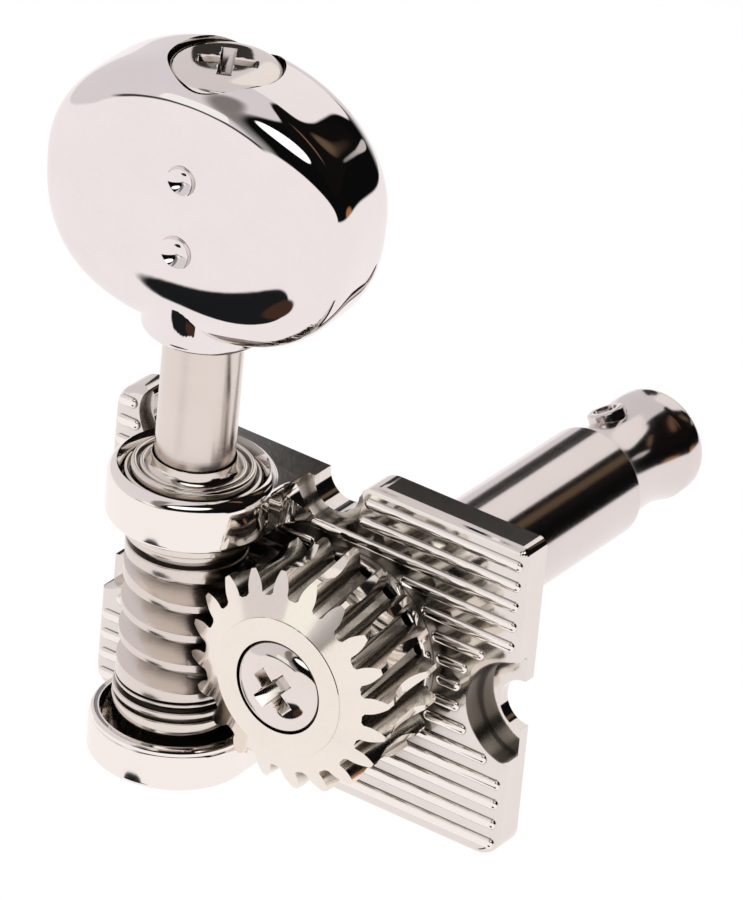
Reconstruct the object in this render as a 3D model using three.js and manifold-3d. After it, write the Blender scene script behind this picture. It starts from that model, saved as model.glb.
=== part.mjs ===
// Open-gear guitar tuning machine: a left-hand worm on the button's shaft drives a
// twenty-tooth gear screwed to the front end of the string post.
// Millimetres. X runs along the ribs of the plate, Y along the string post away from the
// gear, Z up the worm shaft to the button. The origin is where the post's axis leaves the
// back face of the plate, the face that lies on the headstock.

import * as THREE from 'three';
import { mergeVertices } from 'three/addons/utils/BufferGeometryUtils.js';
import Module from 'manifold-3d';

const wasm = await Module();
wasm.setup();

// Fits shared by all pieces
const runClearance = 0.1;      // round a turning shaft
const endClearance = 0.06;     // between faces that slide on each other
const seatClearance = 0.08;    // round a piece that is pressed or screwed in
const overrun = 1.5;           // how far a cutting tool runs past what it cuts
const weldDistance = 0.0004;   // vertices nearer than this are one

// Counts
const roundSegments = 36;
const smallSegments = 20;
const arcSegments = 4;
const bevelSteps = 2;
const ribEndSegments = 6;
const postNeckSteps = 7;
const dimpleSides = 14;
const dimpleRings = 9;
const halfTurnDegrees = 180;

// Worm and gear
const gearTeeth = 20;
const toothModule = 0.56;
const pressureAngle = 20 * Math.PI / 180;
const toothBacklash = 0.18;
const flankSteps = 2;
const twistSteps = 2;
const wormPitchRadius = 2.66;
const addendumShare = 0.97;
const dedendumShare = 1.24;
const gearTurnDegrees = 8.645;         // one tooth's place at the front of the teeth

// Plate
const plateLeft = 15.85;
const plateRight = 10;
const plateHalfHeight = 9.25;
const plateThickness = 1.9;
const plateFrontRound = 0.4;
const plateLowCorner = 1.3;
const plateHighCorner = 0.55;
const plateOuterCorner = 1.5;

// Ribs on the front of the plate
const ribCount = 15;
const ribEdgeInset = 1.004;           // from the plate's edge to the outermost rib
const ribWidth = 0.5;
const ribHeight = 0.24;
const ribEndMargin = 0.3;
const ribNotchMargin = 0.5;
const ribTopNotchMargin = 0.08;

// Screw notches in the edges of the plate
const sideNotchOutset = 0.45;
const sideNotchRadius = 2.1;
const sideNotchDrop = 0.35;
const sideNotchSinkRadius = 2.9;
const topNotchX = -2.05;
const outerNotchX = -12.3;
const topNotchDrop = 1.25;
const topNotchRadius = 1.4;
const topNotchSinkRadius = 1.95;
const notchSinkDepth = 1.05;
const topNotchSinkDepth = 0.55;
const blockCorner = 1.55;

// Raised seat round the post
const seatRadius = 5.2;
const seatHeight = 0.75;
const gearSeatGap = 0.33;

// Gear
const gearFace = 4.33;
const gearConeDepth = 1.01;
const gearRingRadius = 3.83;
const gearRingStep = 0.07;
const gearRearChamfer = 0.35;
const gearBoreRadius = 2.35;
const wormAheadOfMid = 0.2;
const gearThroatRadius = 3.4;
const gearThroatDepth = 0.36;
const gearThroatHalfTurn = 30 * Math.PI / 180;

// Screws
const gearScrewHeadRadius = 2.5;
const gearScrewHeadGap = 0.12;
const gearScrewHeadEdge = 1.15;
const screwHeadCrown = 0.75;
const screwShankRadius = 1.1;
const gearScrewShankLength = 3.2;
const gearCrossTurn = 41.4;              // degrees round the screw's axis
const buttonCrossTurn = 30;
const crossArm = 1.5;
const crossWidth = 0.78;
const crossDepth = 1.05;
const crossTaperShare = 0.45;
const buttonScrewHeadRadius = 2.6;
const buttonScrewHeadGap = 0.3;
const buttonScrewHeadEdge = 1;
const buttonScrewShankLength = 5;

// String post
const postRadius = 3.175;
const postShoulderY = 20.3;
const postNeckLength = 5.2;            // from the shoulder to the rim of the flared end
const postNeckStartRadius = 3.06;
const postWaistRadius = 2.6;
const postWaistShare = 0.53;
const postWaistPower = 1.8;
const postRimRadius = 3.03;
const postRimWidth = 0.75;
const postEndRound = 0.65;
const postTenonFlat = 1.75;
const stringHoleRadius = 0.9;
const stringHoleShare = 0.57;
const stringLipRadius = 1.3;
const stringLipReach = 2.95;
const stringHoleTilt = 28 * Math.PI / 180;

// Lugs of the plate that carry the worm shaft
const lugRadius = 4.4;
const lugRound = 0.6;
const lugRoundSteps = 3;
const lugHeight = 2.97;
const upperLugDrop = 0.55;             // the lug's top below the plate's top edge
const armDrop = 0.5;
const armRound = 0.4;
const armFillet = 1.6;                 // where the arm runs out into the plate's front
const upperSinkRadius = 4.12;
const upperSinkDepth = 0.75;
const lowerLugInset = 0.8;             // the lug's foot above the plate's bottom edge
const lowerLugHeight = 2.45;
const lowerCupRadius = 3.89;
const lowerCupFloor = 1.05;

// Worm shaft
const threadTop = 3.15;
const threadBottom = 2.95;
const landTop = 0.95;
const landBottom = 0.85;
const shoulderRadius = 2.7;
const shoulderTop = 0.42;
const collarGap = 0.13;
const collarWidth = 0.16;
const shoulderBottom = 0.26;
const stemRadius = 2.09;
const journalRadius = 1.8;
const stemChamfer = 0.25;
const stemTenonFlat = 1.55;
const stemTenonLength = 9.4;
const grooveTurns = 3.6;
const grooveFadeTurns = 0.26;
const grooveStepsPerTurn = 20;

// Washers and bushes
const washerRadius = 3.3;
const washerThickness = 0.35;
const bushRadius = 3.57;
const bushRise = 0.1;
const bushRimRadius = 3.2;
const bushRimDrop = 0.35;
const bushDishRadius = 2.85;
const bushDishDepth = 0.16;
const bushConeHeight = 0.62;
const bushConeLip = 0.08;
const lowerBushRadius = 3.3;
const lowerBushNeckRadius = 2.85;
const lowerBushNeck = 0.26;

// Button
const buttonHalfLength = 8.95;
const buttonHalfThickness = 3.6;
const buttonRise = 7.1;
const buttonFall = 7.75;
const buttonCentreZ = 24.88;
const buttonThicknessPower = 4.3;
const buttonUpperPower = 2;
const buttonLowerPower = 2.58;
const buttonTurn = 4.6 * Math.PI / 180;
const buttonBossRadius = 3.3;
const buttonBossFootZ = 16.65;
const buttonBossRound = 0.4;
const buttonSeatZ = 31.35;
const buttonSinkDepth = 1.3;
const dimpleRadius = 0.95;
const dimpleSink = 0.42;
const dimpleUpperRise = 1.55;
const dimpleLowerFall = 2.5;
const buttonSides = 30;
const buttonRings = 18;

// Worked-out sizes
const gearPitchRadius = gearTeeth * toothModule / 2;
const wormX = -(gearPitchRadius + wormPitchRadius);
const gearTipRadius = gearPitchRadius + toothModule;
const gearRootRadius = gearPitchRadius - dedendumShare * toothModule;
const wormTipRadius = wormPitchRadius + addendumShare * toothModule;
const wormRootRadius = wormPitchRadius - dedendumShare * toothModule;
const threadPitch = Math.PI * toothModule;
const leadAngle = Math.atan(threadPitch / (2 * Math.PI * wormPitchRadius));
const toothThickness = threadPitch / 2 - toothBacklash / 2;
const seatFrontY = -(plateThickness + seatHeight);
const gearRearY = seatFrontY - gearSeatGap;
const gearToothFrontY = gearRearY - gearFace;
const gearFrontY = gearToothFrontY - gearConeDepth;
const wormY = gearRearY - gearFace / 2 - wormAheadOfMid;
const gearSinkRadius = gearScrewHeadRadius + gearScrewHeadGap;
const gearSinkY = gearFrontY + gearScrewHeadEdge + seatClearance;
const ribPitch = 2 * (plateHalfHeight - ribEdgeInset) / (ribCount - 1);
const topNotchZ = plateHalfHeight - topNotchDrop;
const upperLugTop = plateHalfHeight - upperLugDrop;
const upperLugZ = upperLugTop - lugHeight;
const armTop = upperLugTop - armDrop;
const lowerLugZ = lowerLugInset - plateHalfHeight;
const lowerLugTop = lowerLugZ + lowerLugHeight;
const lowerFloorZ = lowerLugZ + lowerCupFloor;
const wormTop = threadTop + landTop;
const wormBottom = -(threadBottom + landBottom);
const shoulderTopZ = wormTop + shoulderTop;
const upperWasherZ = shoulderTopZ + endClearance;
const bushFootZ = upperWasherZ + washerThickness + endClearance;
const bushTop = upperLugTop + bushRise;
const bushConeTop = bushTop + bushConeHeight;
const collarTopZ = wormBottom - collarGap;
const collarFootZ = collarTopZ - collarWidth;
const shoulderFootZ = collarFootZ - shoulderBottom;
const lowerWasherZ = shoulderFootZ - endClearance - washerThickness;
const lowerBushTop = lowerWasherZ - endClearance;
const stemTop = buttonBossFootZ - endClearance;
const stemTenonTop = stemTop + stemTenonLength;
const buttonSinkZ = buttonSeatZ - buttonSinkDepth;
const sideNotchRight = plateRight + sideNotchOutset;
const sideNotchLeft = -(plateLeft + sideNotchOutset);
const postNeckEndY = postShoulderY + postNeckLength;
const postEndY = postNeckEndY + postRimWidth + postEndRound;
const stringHoleY = postShoulderY + stringHoleShare * postNeckLength;
const gearTurn = gearTurnDegrees * Math.PI / 180;
const gearTwist = Math.tan(leadAngle) / gearPitchRadius;

// The groove's turn round the worm puts a tooth of the gear, which stands gearMeshTurn
// from the worm's side, in the middle of the groove.
const toothTurn = 2 * Math.PI / gearTeeth;
const gearMeshTurn = (gearTurn + (wormY - gearToothFrontY) * gearTwist - Math.PI) % toothTurn;
const grooveMiddleZ = (threadTop - threadBottom) / 2;
const threadPhaseTurns = (-gearMeshTurn * gearPitchRadius - grooveMiddleZ) / threadPitch;

// A closed three.js geometry as a solid, with its faces pointing out.
function solidOf(geometry) {
  const bare = geometry.index ? geometry.toNonIndexed() : geometry.clone();
  bare.deleteAttribute('normal');
  bare.deleteAttribute('uv');
  const merged = mergeVertices(bare, weldDistance);
  const place = merged.attributes.position;
  const corners = [];
  for (let i = 0; i < merged.index.count; i += 3) {
    const [a, b, c] = [0, 1, 2].map((k) => merged.index.getX(i + k));
    if (a !== b && b !== c && c !== a) corners.push([a, b, c]);
  }
  const at = (i) => new THREE.Vector3().fromBufferAttribute(place, i);
  const volume = corners.reduce((sum, [a, b, c]) => sum + at(a).dot(at(b).cross(at(c))), 0);
  const outward = volume < 0 ? corners.map(([a, b, c]) => [a, c, b]) : corners;
  return new wasm.Manifold(new wasm.Mesh({
    numProp: 3,
    vertProperties: new Float32Array(place.array),
    triVerts: new Uint32Array(outward.flat()),
  }));
}

function geometryOf(solid) {
  const mesh = solid.getMesh();
  const geometry = new THREE.BufferGeometry();
  geometry.setAttribute('position', new THREE.BufferAttribute(mesh.vertProperties, 3));
  geometry.setIndex(new THREE.BufferAttribute(mesh.triVerts, 1));
  geometry.computeVertexNormals();
  return geometry;
}

// Revolves [radius, height] points about Y.
function turnedY(profile, segments = roundSegments) {
  const points = profile.map(([radius, height]) => new THREE.Vector2(radius, height));
  return new THREE.LatheGeometry(points, segments);
}

// Revolves [radius, height] points about Z.
function turnedZ(profile, segments = roundSegments) {
  return turnedY(profile, segments).rotateX(Math.PI / 2);
}

// The same, on the worm's axis, as a solid.
function onWormAxis(profile, segments = roundSegments) {
  return solidOf(turnedZ(profile, segments).translate(wormX, wormY, 0));
}

function rod(radius, from, to) {
  return [[0, from], [radius, from], [radius, to], [0, to]];
}

function ring(inner, outer, from, to) {
  return [[inner, from], [outer, from], [outer, to], [inner, to], [inner, from]];
}

// Points of a quarter round in a turned profile, from one angle to another.
function roundPoints(centreRadius, centreHeight, radius, from, to, steps = arcSegments) {
  return Array.from({ length: steps + 1 }, (_, i) => {
    const angle = from + (to - from) * i / steps;
    return [centreRadius + radius * Math.cos(angle), centreHeight + radius * Math.sin(angle)];
  });
}

function boxSolid(x0, x1, y0, y1, z0, z1) {
  const box = new THREE.BoxGeometry(x1 - x0, y1 - y0, z1 - z0);
  return solidOf(box.translate((x0 + x1) / 2, (y0 + y1) / 2, (z0 + z1) / 2));
}

// A round cut or boss along Y at x, z.
function pegY(radius, x, z, y0, y1, segments = smallSegments) {
  return solidOf(turnedY(rod(radius, y0, y1), segments).translate(x, 0, z));
}

// The same outline as straight runs, without points that lie on each other.
function cleanOutline(outline, segments) {
  const points = outline.getPoints(segments);
  const apart = points.filter((point, i) => {
    const next = points[(i + 1) % points.length];
    return point.distanceTo(next) > weldDistance;
  });
  return new THREE.Shape(apart);
}

// The plate's outline in X and Z.
function plateOutline() {
  const quarter = Math.PI / 2;
  const top = plateHalfHeight;
  const outline = new THREE.Shape();
  outline.moveTo(-plateLeft + plateLowCorner, -top);
  [[plateRight, -top, plateLowCorner], [plateRight, top, plateHighCorner],
    [-plateLeft, top, plateOuterCorner], [-plateLeft, -top, plateLowCorner]].forEach(([x, z, radius], i) => {
    const centre = [x - Math.sign(x) * radius, z - Math.sign(z) * radius];
    outline.absarc(...centre, radius, (i - 1) * quarter, i * quarter);
  });
  return outline;
}

// A round-bottomed notch open at the top edge, whose side away from the arm is eased.
function edgeNotch(x, corner, away) {
  const top = plateHalfHeight;
  const outer = topNotchRadius + corner;
  const start = away > 0 ? Math.PI : 0;
  const outline = new THREE.Shape();
  outline.moveTo(-away * topNotchRadius, top + overrun);
  outline.lineTo(-away * topNotchRadius, topNotchZ);
  outline.absarc(0, topNotchZ, topNotchRadius, start, start + away * Math.PI, away < 0);
  outline.lineTo(away * topNotchRadius, top - corner);
  outline.absarc(away * outer, top - corner, corner, start, Math.PI / 2, away > 0);
  outline.lineTo(away * outer, top + overrun);
  const depth = plateThickness + 2 * overrun;
  const bar = new THREE.ExtrudeGeometry(cleanOutline(outline, smallSegments / 2), { depth, bevelEnabled: false });
  return solidOf(bar.rotateX(Math.PI / 2).translate(x, overrun, 0));
}

function plateSlab() {
  const slab = new THREE.ExtrudeGeometry(cleanOutline(plateOutline(), arcSegments), {
    depth: plateThickness,
    bevelEnabled: true,
    bevelThickness: plateFrontRound,
    bevelSize: plateFrontRound,
    bevelOffset: -plateFrontRound,
    bevelSegments: bevelSteps,
  });
  const reach = plateLeft + plateRight;
  const behind = boxSolid(-reach, reach, 0, reach, -reach, reach);
  const over = boxSolid(outerNotchX, topNotchX, -reach, reach, armTop, reach);
  return solidOf(slab.rotateX(Math.PI / 2).translate(0, plateFrontRound, 0))
    .subtract(behind)
    .subtract(over);
}

// One half-round rib with rounded ends, along X on the front of the plate.
function rib(z) {
  const from = -plateLeft + ribEndMargin + ribWidth / 2;
  const to = plateRight - ribEndMargin - ribWidth / 2;
  const half = new THREE.Shape();
  half.moveTo(-ribWidth / 2, 0);
  half.absellipse(0, 0, ribWidth / 2, ribHeight, Math.PI, 0, true);
  half.lineTo(ribWidth / 2, -plateFrontRound);
  half.lineTo(-ribWidth / 2, -plateFrontRound);
  const outline = cleanOutline(half, bevelSteps);
  const bar = new THREE.ExtrudeGeometry(outline, { depth: to - from, bevelEnabled: false });
  bar.rotateY(Math.PI / 2).rotateX(Math.PI).translate(from, -plateThickness, z);
  const dome = roundPoints(0, 0, 1, 0, Math.PI / 2, 2).map(([r, h]) => [r * ribWidth / 2, h * ribHeight]);
  const end = turnedY([[0, -plateFrontRound], [ribWidth / 2, -plateFrontRound], ...dome.slice(0, -1),
    [0, ribHeight]], ribEndSegments).rotateX(Math.PI);
  const left = end.clone().translate(from, -plateThickness, z);
  const right = end.clone().translate(to, -plateThickness, z);
  return solidOf(bar).add(solidOf(left)).add(solidOf(right));
}

// All the ribs, cleared round the notches, the seat, the worm and the lugs.
function ribField() {
  let field = null;
  for (let i = 0; i < ribCount; i += 1) {
    const one = rib((i - (ribCount - 1) / 2) * ribPitch);
    field = field ? field.add(one) : one;
  }
  const front = -plateThickness - overrun;
  const margins = [
    pegY(sideNotchSinkRadius + ribNotchMargin, sideNotchRight, -sideNotchDrop, front, overrun),
    pegY(sideNotchSinkRadius + ribNotchMargin, sideNotchLeft, -sideNotchDrop, front, overrun),
    pegY(topNotchSinkRadius + ribTopNotchMargin, topNotchX, topNotchZ, front, overrun),
    pegY(topNotchSinkRadius + ribTopNotchMargin, outerNotchX, topNotchZ, front, overrun),
    pegY(seatRadius + ribNotchMargin, 0, 0, front, overrun),
    boxSolid(outerNotchX, topNotchX, front, overrun, topNotchZ - topNotchRadius, plateHalfHeight + overrun),
    onWormAxis(rod(washerRadius + runClearance, lowerLugTop, upperLugZ)),
  ];
  return margins.reduce((left, margin) => left.subtract(margin), field);
}

// The rounded tongue that joins a lug to the plate, seen from above.
function armOutline() {
  const outline = new THREE.Shape();
  const wide = lugRadius + armFillet;
  const filletY = -plateThickness - armFillet;
  outline.moveTo(wormX - wide, -plateThickness / 2);
  outline.lineTo(wormX - wide, -plateThickness);
  outline.absarc(wormX - wide, filletY, armFillet, Math.PI / 2, 0, true);
  outline.lineTo(wormX - lugRadius, wormY);
  outline.absarc(wormX, wormY, lugRadius, Math.PI, 2 * Math.PI);
  outline.lineTo(wormX + lugRadius, filletY);
  outline.absarc(wormX + wide, filletY, armFillet, Math.PI, Math.PI / 2, true);
  outline.lineTo(wormX + wide, -plateThickness / 2);
  return outline;
}

function arm(from, to) {
  const block = new THREE.ExtrudeGeometry(cleanOutline(armOutline(), roundSegments / 4), {
    depth: to - from - 2 * armRound,
    bevelEnabled: true,
    bevelThickness: armRound,
    bevelSize: armRound,
    bevelOffset: -armRound,
    bevelSegments: bevelSteps,
  });
  return solidOf(block.translate(0, 0, from + armRound));
}

function lugBody(foot, top) {
  const side = lugRadius - lugRound;
  return onWormAxis([
    [0, foot],
    ...roundPoints(side, foot + lugRound, lugRound, -Math.PI / 2, 0, lugRoundSteps),
    ...roundPoints(side, top - lugRound, lugRound, 0, Math.PI / 2, lugRoundSteps),
    [0, top],
  ]);
}

// The counterbore of a notch, down to its shelf.
function notchSink(x, z, radius, depth) {
  return pegY(radius, x, z, -plateThickness - overrun, -plateThickness + depth);
}

function sideNotch(x) {
  const hole = pegY(sideNotchRadius, x, -sideNotchDrop, -plateThickness - overrun, overrun);
  return hole.add(notchSink(x, -sideNotchDrop, sideNotchSinkRadius, notchSinkDepth));
}

function basePlate() {
  let body = plateSlab().add(ribField());
  body = body.add(pegY(seatRadius, 0, 0, seatFrontY, -plateThickness / 2, roundSegments));
  body = body.subtract(sideNotch(sideNotchRight)).subtract(sideNotch(sideNotchLeft));
  body = body.add(arm(upperLugZ, armTop)).add(arm(lowerLugZ, lowerLugTop));
  body = body.subtract(notchSink(topNotchX, topNotchZ, topNotchSinkRadius, topNotchSinkDepth));
  body = body.subtract(notchSink(outerNotchX, topNotchZ, topNotchSinkRadius, topNotchSinkDepth));
  body = body.subtract(edgeNotch(topNotchX, blockCorner, 1)).subtract(edgeNotch(outerNotchX, plateHighCorner, -1));
  body = body.add(lugBody(upperLugZ, upperLugTop)).add(lugBody(lowerLugZ, lowerLugTop));
  const boreRadius = bushRadius + seatClearance;
  return body
    .subtract(onWormAxis(rod(boreRadius, upperLugZ - overrun, upperLugTop + overrun)))
    .subtract(onWormAxis([[0, upperLugTop - upperSinkDepth], [boreRadius, upperLugTop - upperSinkDepth],
      [upperSinkRadius, upperLugTop], [upperSinkRadius, upperLugTop + overrun], [0, upperLugTop + overrun]]))
    .subtract(onWormAxis(rod(lowerCupRadius, lowerFloorZ, lowerLugTop + runClearance)))
    .subtract(pegY(postRadius + runClearance, 0, 0, seatFrontY - overrun, overrun, roundSegments));
}

// The thread groove: a straight trapezoid bar wound round the worm's axis, falling as it
// goes round against the clock, which makes a left-hand worm. It fades out at both ends.
function threadGroove() {
  const steps = Math.round(grooveTurns * grooveStepsPerTurn);
  const slope = Math.tan(pressureAngle);
  const outer = wormTipRadius + runClearance;
  const half = (radius) => (threadPitch - toothThickness) / 2 + (radius - wormPitchRadius) * slope;
  const section = new THREE.Shape();
  section.moveTo(wormRootRadius, -half(wormRootRadius));
  section.lineTo(outer, -half(outer));
  section.lineTo(outer, half(outer));
  section.lineTo(wormRootRadius, half(wormRootRadius));
  const bar = new THREE.ExtrudeGeometry(section, { depth: 1, steps, bevelEnabled: false });
  const place = bar.attributes.position;
  for (let i = 0; i < place.count; i += 1) {
    const along = place.getZ(i);
    const turns = (along - 1 / 2) * grooveTurns;
    const toEnd = (1 / 2 - Math.abs(along - 1 / 2)) * grooveTurns;
    const fade = Math.max(0, 1 - toEnd / grooveFadeTurns);
    const deep = (outer - wormRootRadius) * fade;
    const radius = Math.min(outer + deep, place.getX(i) + deep);
    const angle = 2 * Math.PI * (turns + threadPhaseTurns);
    const height = place.getY(i) - turns * threadPitch + grooveMiddleZ;
    place.setXYZ(i, radius * Math.cos(angle), radius * Math.sin(angle), height);
  }
  return solidOf(bar.translate(wormX, wormY, 0));
}

function wormShaft() {
  const body = onWormAxis([
    [0, lowerFloorZ + endClearance],
    [journalRadius, lowerFloorZ + endClearance],
    [journalRadius, shoulderFootZ],
    [shoulderRadius, shoulderFootZ],
    [shoulderRadius, collarFootZ],
    [wormTipRadius, collarFootZ],
    [wormTipRadius, collarTopZ],
    [shoulderRadius, collarTopZ],
    [shoulderRadius, wormBottom],
    [wormTipRadius, wormBottom],
    [wormTipRadius, wormTop],
    [shoulderRadius, wormTop],
    [shoulderRadius, shoulderTopZ],
    [stemRadius, shoulderTopZ],
    [stemRadius, stemTop],
    [stemRadius - stemChamfer, stemTop],
    [stemRadius - stemChamfer, stemTenonTop],
    [0, stemTenonTop],
  ]);
  const side = stemRadius + overrun;
  const flats = [-1, 1].map((way) => boxSolid(wormX - side, wormX + side,
    wormY + Math.min(way * stemTenonFlat, way * side), wormY + Math.max(way * stemTenonFlat, way * side),
    stemTop, stemTenonTop + overrun));
  const screwHole = onWormAxis(rod(screwShankRadius + seatClearance,
    buttonSinkZ - buttonScrewShankLength - endClearance, stemTenonTop + overrun), smallSegments);
  return body.subtract(threadGroove()).subtract(flats[0]).subtract(flats[1]).subtract(screwHole);
}

function retainingBush() {
  return onWormAxis([
    [stemRadius + runClearance, bushFootZ],
    [bushRadius, bushFootZ],
    [bushRadius, bushTop - bushRimDrop],
    [bushRimRadius, bushTop],
    [bushDishRadius + bushRimDrop / 2, bushTop],
    [bushDishRadius, bushTop - bushDishDepth],
    [bushDishRadius - bushDishDepth, bushTop - bushDishDepth],
    [stemRadius + runClearance + bushConeLip, bushConeTop],
    [stemRadius + runClearance, bushConeTop],
    [stemRadius + runClearance, bushFootZ],
  ]);
}

function thrustWasher(foot, shaftRadius) {
  return onWormAxis(ring(shaftRadius + runClearance, washerRadius, foot, foot + washerThickness));
}

function lowerBush() {
  return onWormAxis([
    [journalRadius + runClearance, lowerFloorZ],
    [lowerBushRadius, lowerFloorZ],
    [lowerBushRadius, lowerBushTop - lowerBushNeck],
    [lowerBushNeckRadius, lowerBushTop - lowerBushNeck + seatClearance],
    [lowerBushNeckRadius, lowerBushTop],
    [journalRadius + runClearance, lowerBushTop],
    [journalRadius + runClearance, lowerFloorZ],
  ]);
}

// The outline of the gear's teeth, with the involute flanks that a straight-sided worm needs.
function toothOutline() {
  const baseRadius = gearPitchRadius * Math.cos(pressureAngle);
  const involute = (angle) => Math.tan(angle) - angle;
  const half = (radius) => toothThickness / (2 * gearPitchRadius) + involute(pressureAngle)
    - involute(Math.acos(Math.min(1, baseRadius / radius)));
  const flank = [[gearRootRadius, half(baseRadius)]];
  for (let i = 0; i <= flankSteps; i += 1) {
    const radius = baseRadius + (gearTipRadius - baseRadius) * i / flankSteps;
    flank.push([radius, half(radius)]);
  }
  const corners = [...flank.map(([radius, angle]) => [radius, -angle]), ...flank.reverse()];
  const points = [];
  for (let i = 0; i < gearTeeth; i += 1) {
    const middle = toothTurn * i;
    corners.forEach(([radius, angle]) => {
      points.push(new THREE.Vector2(radius * Math.cos(middle + angle), radius * Math.sin(middle + angle)));
    });
  }
  return new THREE.Shape(points);
}

// The shallow hollow round the middle of the teeth, where the worm's plain ends pass.
function gearThroat() {
  const out = gearTipRadius - gearThroatDepth + gearThroatRadius;
  const circle = roundPoints(out, wormY, gearThroatRadius, Math.PI - gearThroatHalfTurn,
    Math.PI + gearThroatHalfTurn);
  return solidOf(turnedY([...circle, circle[0]], gearTeeth * bevelSteps));
}

// Helical teeth: the outline extruded along Y and twisted to match the worm's lead angle.
function gearBlank() {
  const depth = gearFace + gearConeDepth;
  const bar = new THREE.ExtrudeGeometry(toothOutline(), { depth, steps: twistSteps, bevelEnabled: false });
  bar.rotateX(Math.PI / 2).translate(0, gearRearY, 0);
  const place = bar.attributes.position;
  for (let i = 0; i < place.count; i += 1) {
    const turn = gearTurn + (place.getY(i) - gearToothFrontY) * gearTwist;
    const x = place.getX(i);
    const z = place.getZ(i);
    place.setX(i, x * Math.cos(turn) - z * Math.sin(turn));
    place.setZ(i, x * Math.sin(turn) + z * Math.cos(turn));
  }
  const cone = turnedY([
    [0, gearFrontY],
    [gearRingRadius, gearFrontY],
    [gearRingRadius, gearFrontY + gearRingStep],
    [gearTipRadius + overrun, gearToothFrontY + overrun * gearConeDepth / (gearTipRadius - gearRingRadius)],
    [gearTipRadius + overrun, gearRearY - gearRearChamfer + overrun],
    [gearTipRadius + overrun, gearRearY + overrun],
    [gearTipRadius - gearRearChamfer, gearRearY],
    [0, gearRearY],
  ]);
  return solidOf(bar).intersect(solidOf(cone)).subtract(gearThroat());
}

function gear() {
  const sink = pegY(gearSinkRadius, 0, 0, gearFrontY - overrun, gearSinkY, roundSegments);
  const tenon = postTenonFlat + seatClearance;
  const bore = pegY(gearBoreRadius + seatClearance, 0, 0, gearSinkY - overrun, gearRearY + overrun)
    .intersect(boxSolid(-tenon, tenon, gearSinkY - 2 * overrun, gearRearY + 2 * overrun,
      -2 * gearBoreRadius, 2 * gearBoreRadius));
  return gearBlank().subtract(sink).subtract(bore);
}

// A cross recess that narrows with depth, cut from height 0 down -Y.
function crossRecess() {
  const bar = (length, width) => {
    const shape = new THREE.BoxGeometry(2 * length, crossDepth + overrun, width);
    shape.translate(0, (overrun - crossDepth) / 2, 0);
    const place = shape.attributes.position;
    for (let i = 0; i < place.count; i += 1) {
      const share = 1 + (1 - crossTaperShare) * place.getY(i) / crossDepth;
      place.setX(i, place.getX(i) * share);
    }
    return shape;
  };
  const one = bar(crossArm, crossWidth);
  return solidOf(one).add(solidOf(one.clone().rotateY(Math.PI / 2)));
}

// A round-headed screw along Y: its head sits on height 0 and its shank goes down -Y.
function screwSolid(headRadius, edge, shankLength, crossTurn) {
  const bulge = roundPoints(0, 0, 1, 0, Math.PI / 2, arcSegments)
    .map(([r, h]) => [r * headRadius, edge + h * screwHeadCrown]);
  const body = solidOf(turnedY([[0, -shankLength], [screwShankRadius, -shankLength],
    [screwShankRadius, 0], [headRadius, 0], ...bulge.slice(0, -1), [0, edge + screwHeadCrown]], smallSegments));
  const turned = crossRecess().rotate([0, crossTurn, 0]).translate([0, edge + screwHeadCrown, 0]);
  return body.subtract(turned);
}

function gearScrew() {
  const edge = gearScrewHeadEdge - seatClearance;
  const screw = screwSolid(gearScrewHeadRadius, edge, gearScrewShankLength, gearCrossTurn);
  return screw.rotate([halfTurnDegrees, 0, 0]).translate([0, gearSinkY, 0]);
}

function buttonScrew() {
  const screw = screwSolid(buttonScrewHeadRadius, buttonScrewHeadEdge, buttonScrewShankLength, buttonCrossTurn);
  return screw.rotate([halfTurnDegrees / 2, 0, 0]).translate([wormX, wormY, buttonSinkZ]);
}

// The concave neck from the shoulder to the flared rim, the rim and its rounded flat end.
function postHead() {
  const neck = Array.from({ length: postNeckSteps + 1 }, (_, i) => {
    const share = i / postNeckSteps;
    const wide = share < postWaistShare ? postNeckStartRadius : postRimRadius;
    const reach = share < postWaistShare ? postWaistShare : 1 - postWaistShare;
    const away = Math.abs(share - postWaistShare) / reach;
    return [postWaistRadius + (wide - postWaistRadius) * away ** postWaistPower,
      postShoulderY + share * postNeckLength];
  });
  const flat = postRimRadius - postEndRound;
  const end = roundPoints(flat, postEndY - postEndRound, postEndRound, 0, Math.PI / 2);
  return [...neck, ...end, [0, postEndY]];
}

function stringPost() {
  const body = turnedY([
    [0, gearSinkY + endClearance],
    [gearBoreRadius, gearSinkY + endClearance],
    [gearBoreRadius, gearRearY],
    [postRadius, gearRearY],
    [postRadius, postShoulderY],
    ...postHead(),
  ]);
  const lip = turnedZ(rod(stringLipRadius, 0, stringLipReach), smallSegments);
  const hole = turnedZ(rod(stringHoleRadius, -postRadius - overrun, postRadius + overrun), smallSegments);
  const across = (tool) => solidOf(tool.rotateY(-stringHoleTilt).translate(0, stringHoleY, 0));
  const wide = postTenonFlat + overrun;
  const flats = [-1, 1].map((way) => boxSolid(Math.min(way * postTenonFlat, way * wide),
    Math.max(way * postTenonFlat, way * wide), gearSinkY - overrun, gearRearY,
    -postRadius, postRadius));
  const screwHole = pegY(screwShankRadius + seatClearance, 0, 0, gearSinkY - overrun,
    gearSinkY + gearScrewShankLength + endClearance);
  return solidOf(body).subtract(flats[0]).subtract(flats[1]).subtract(screwHole)
    .add(across(lip)).subtract(across(hole));
}

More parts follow.
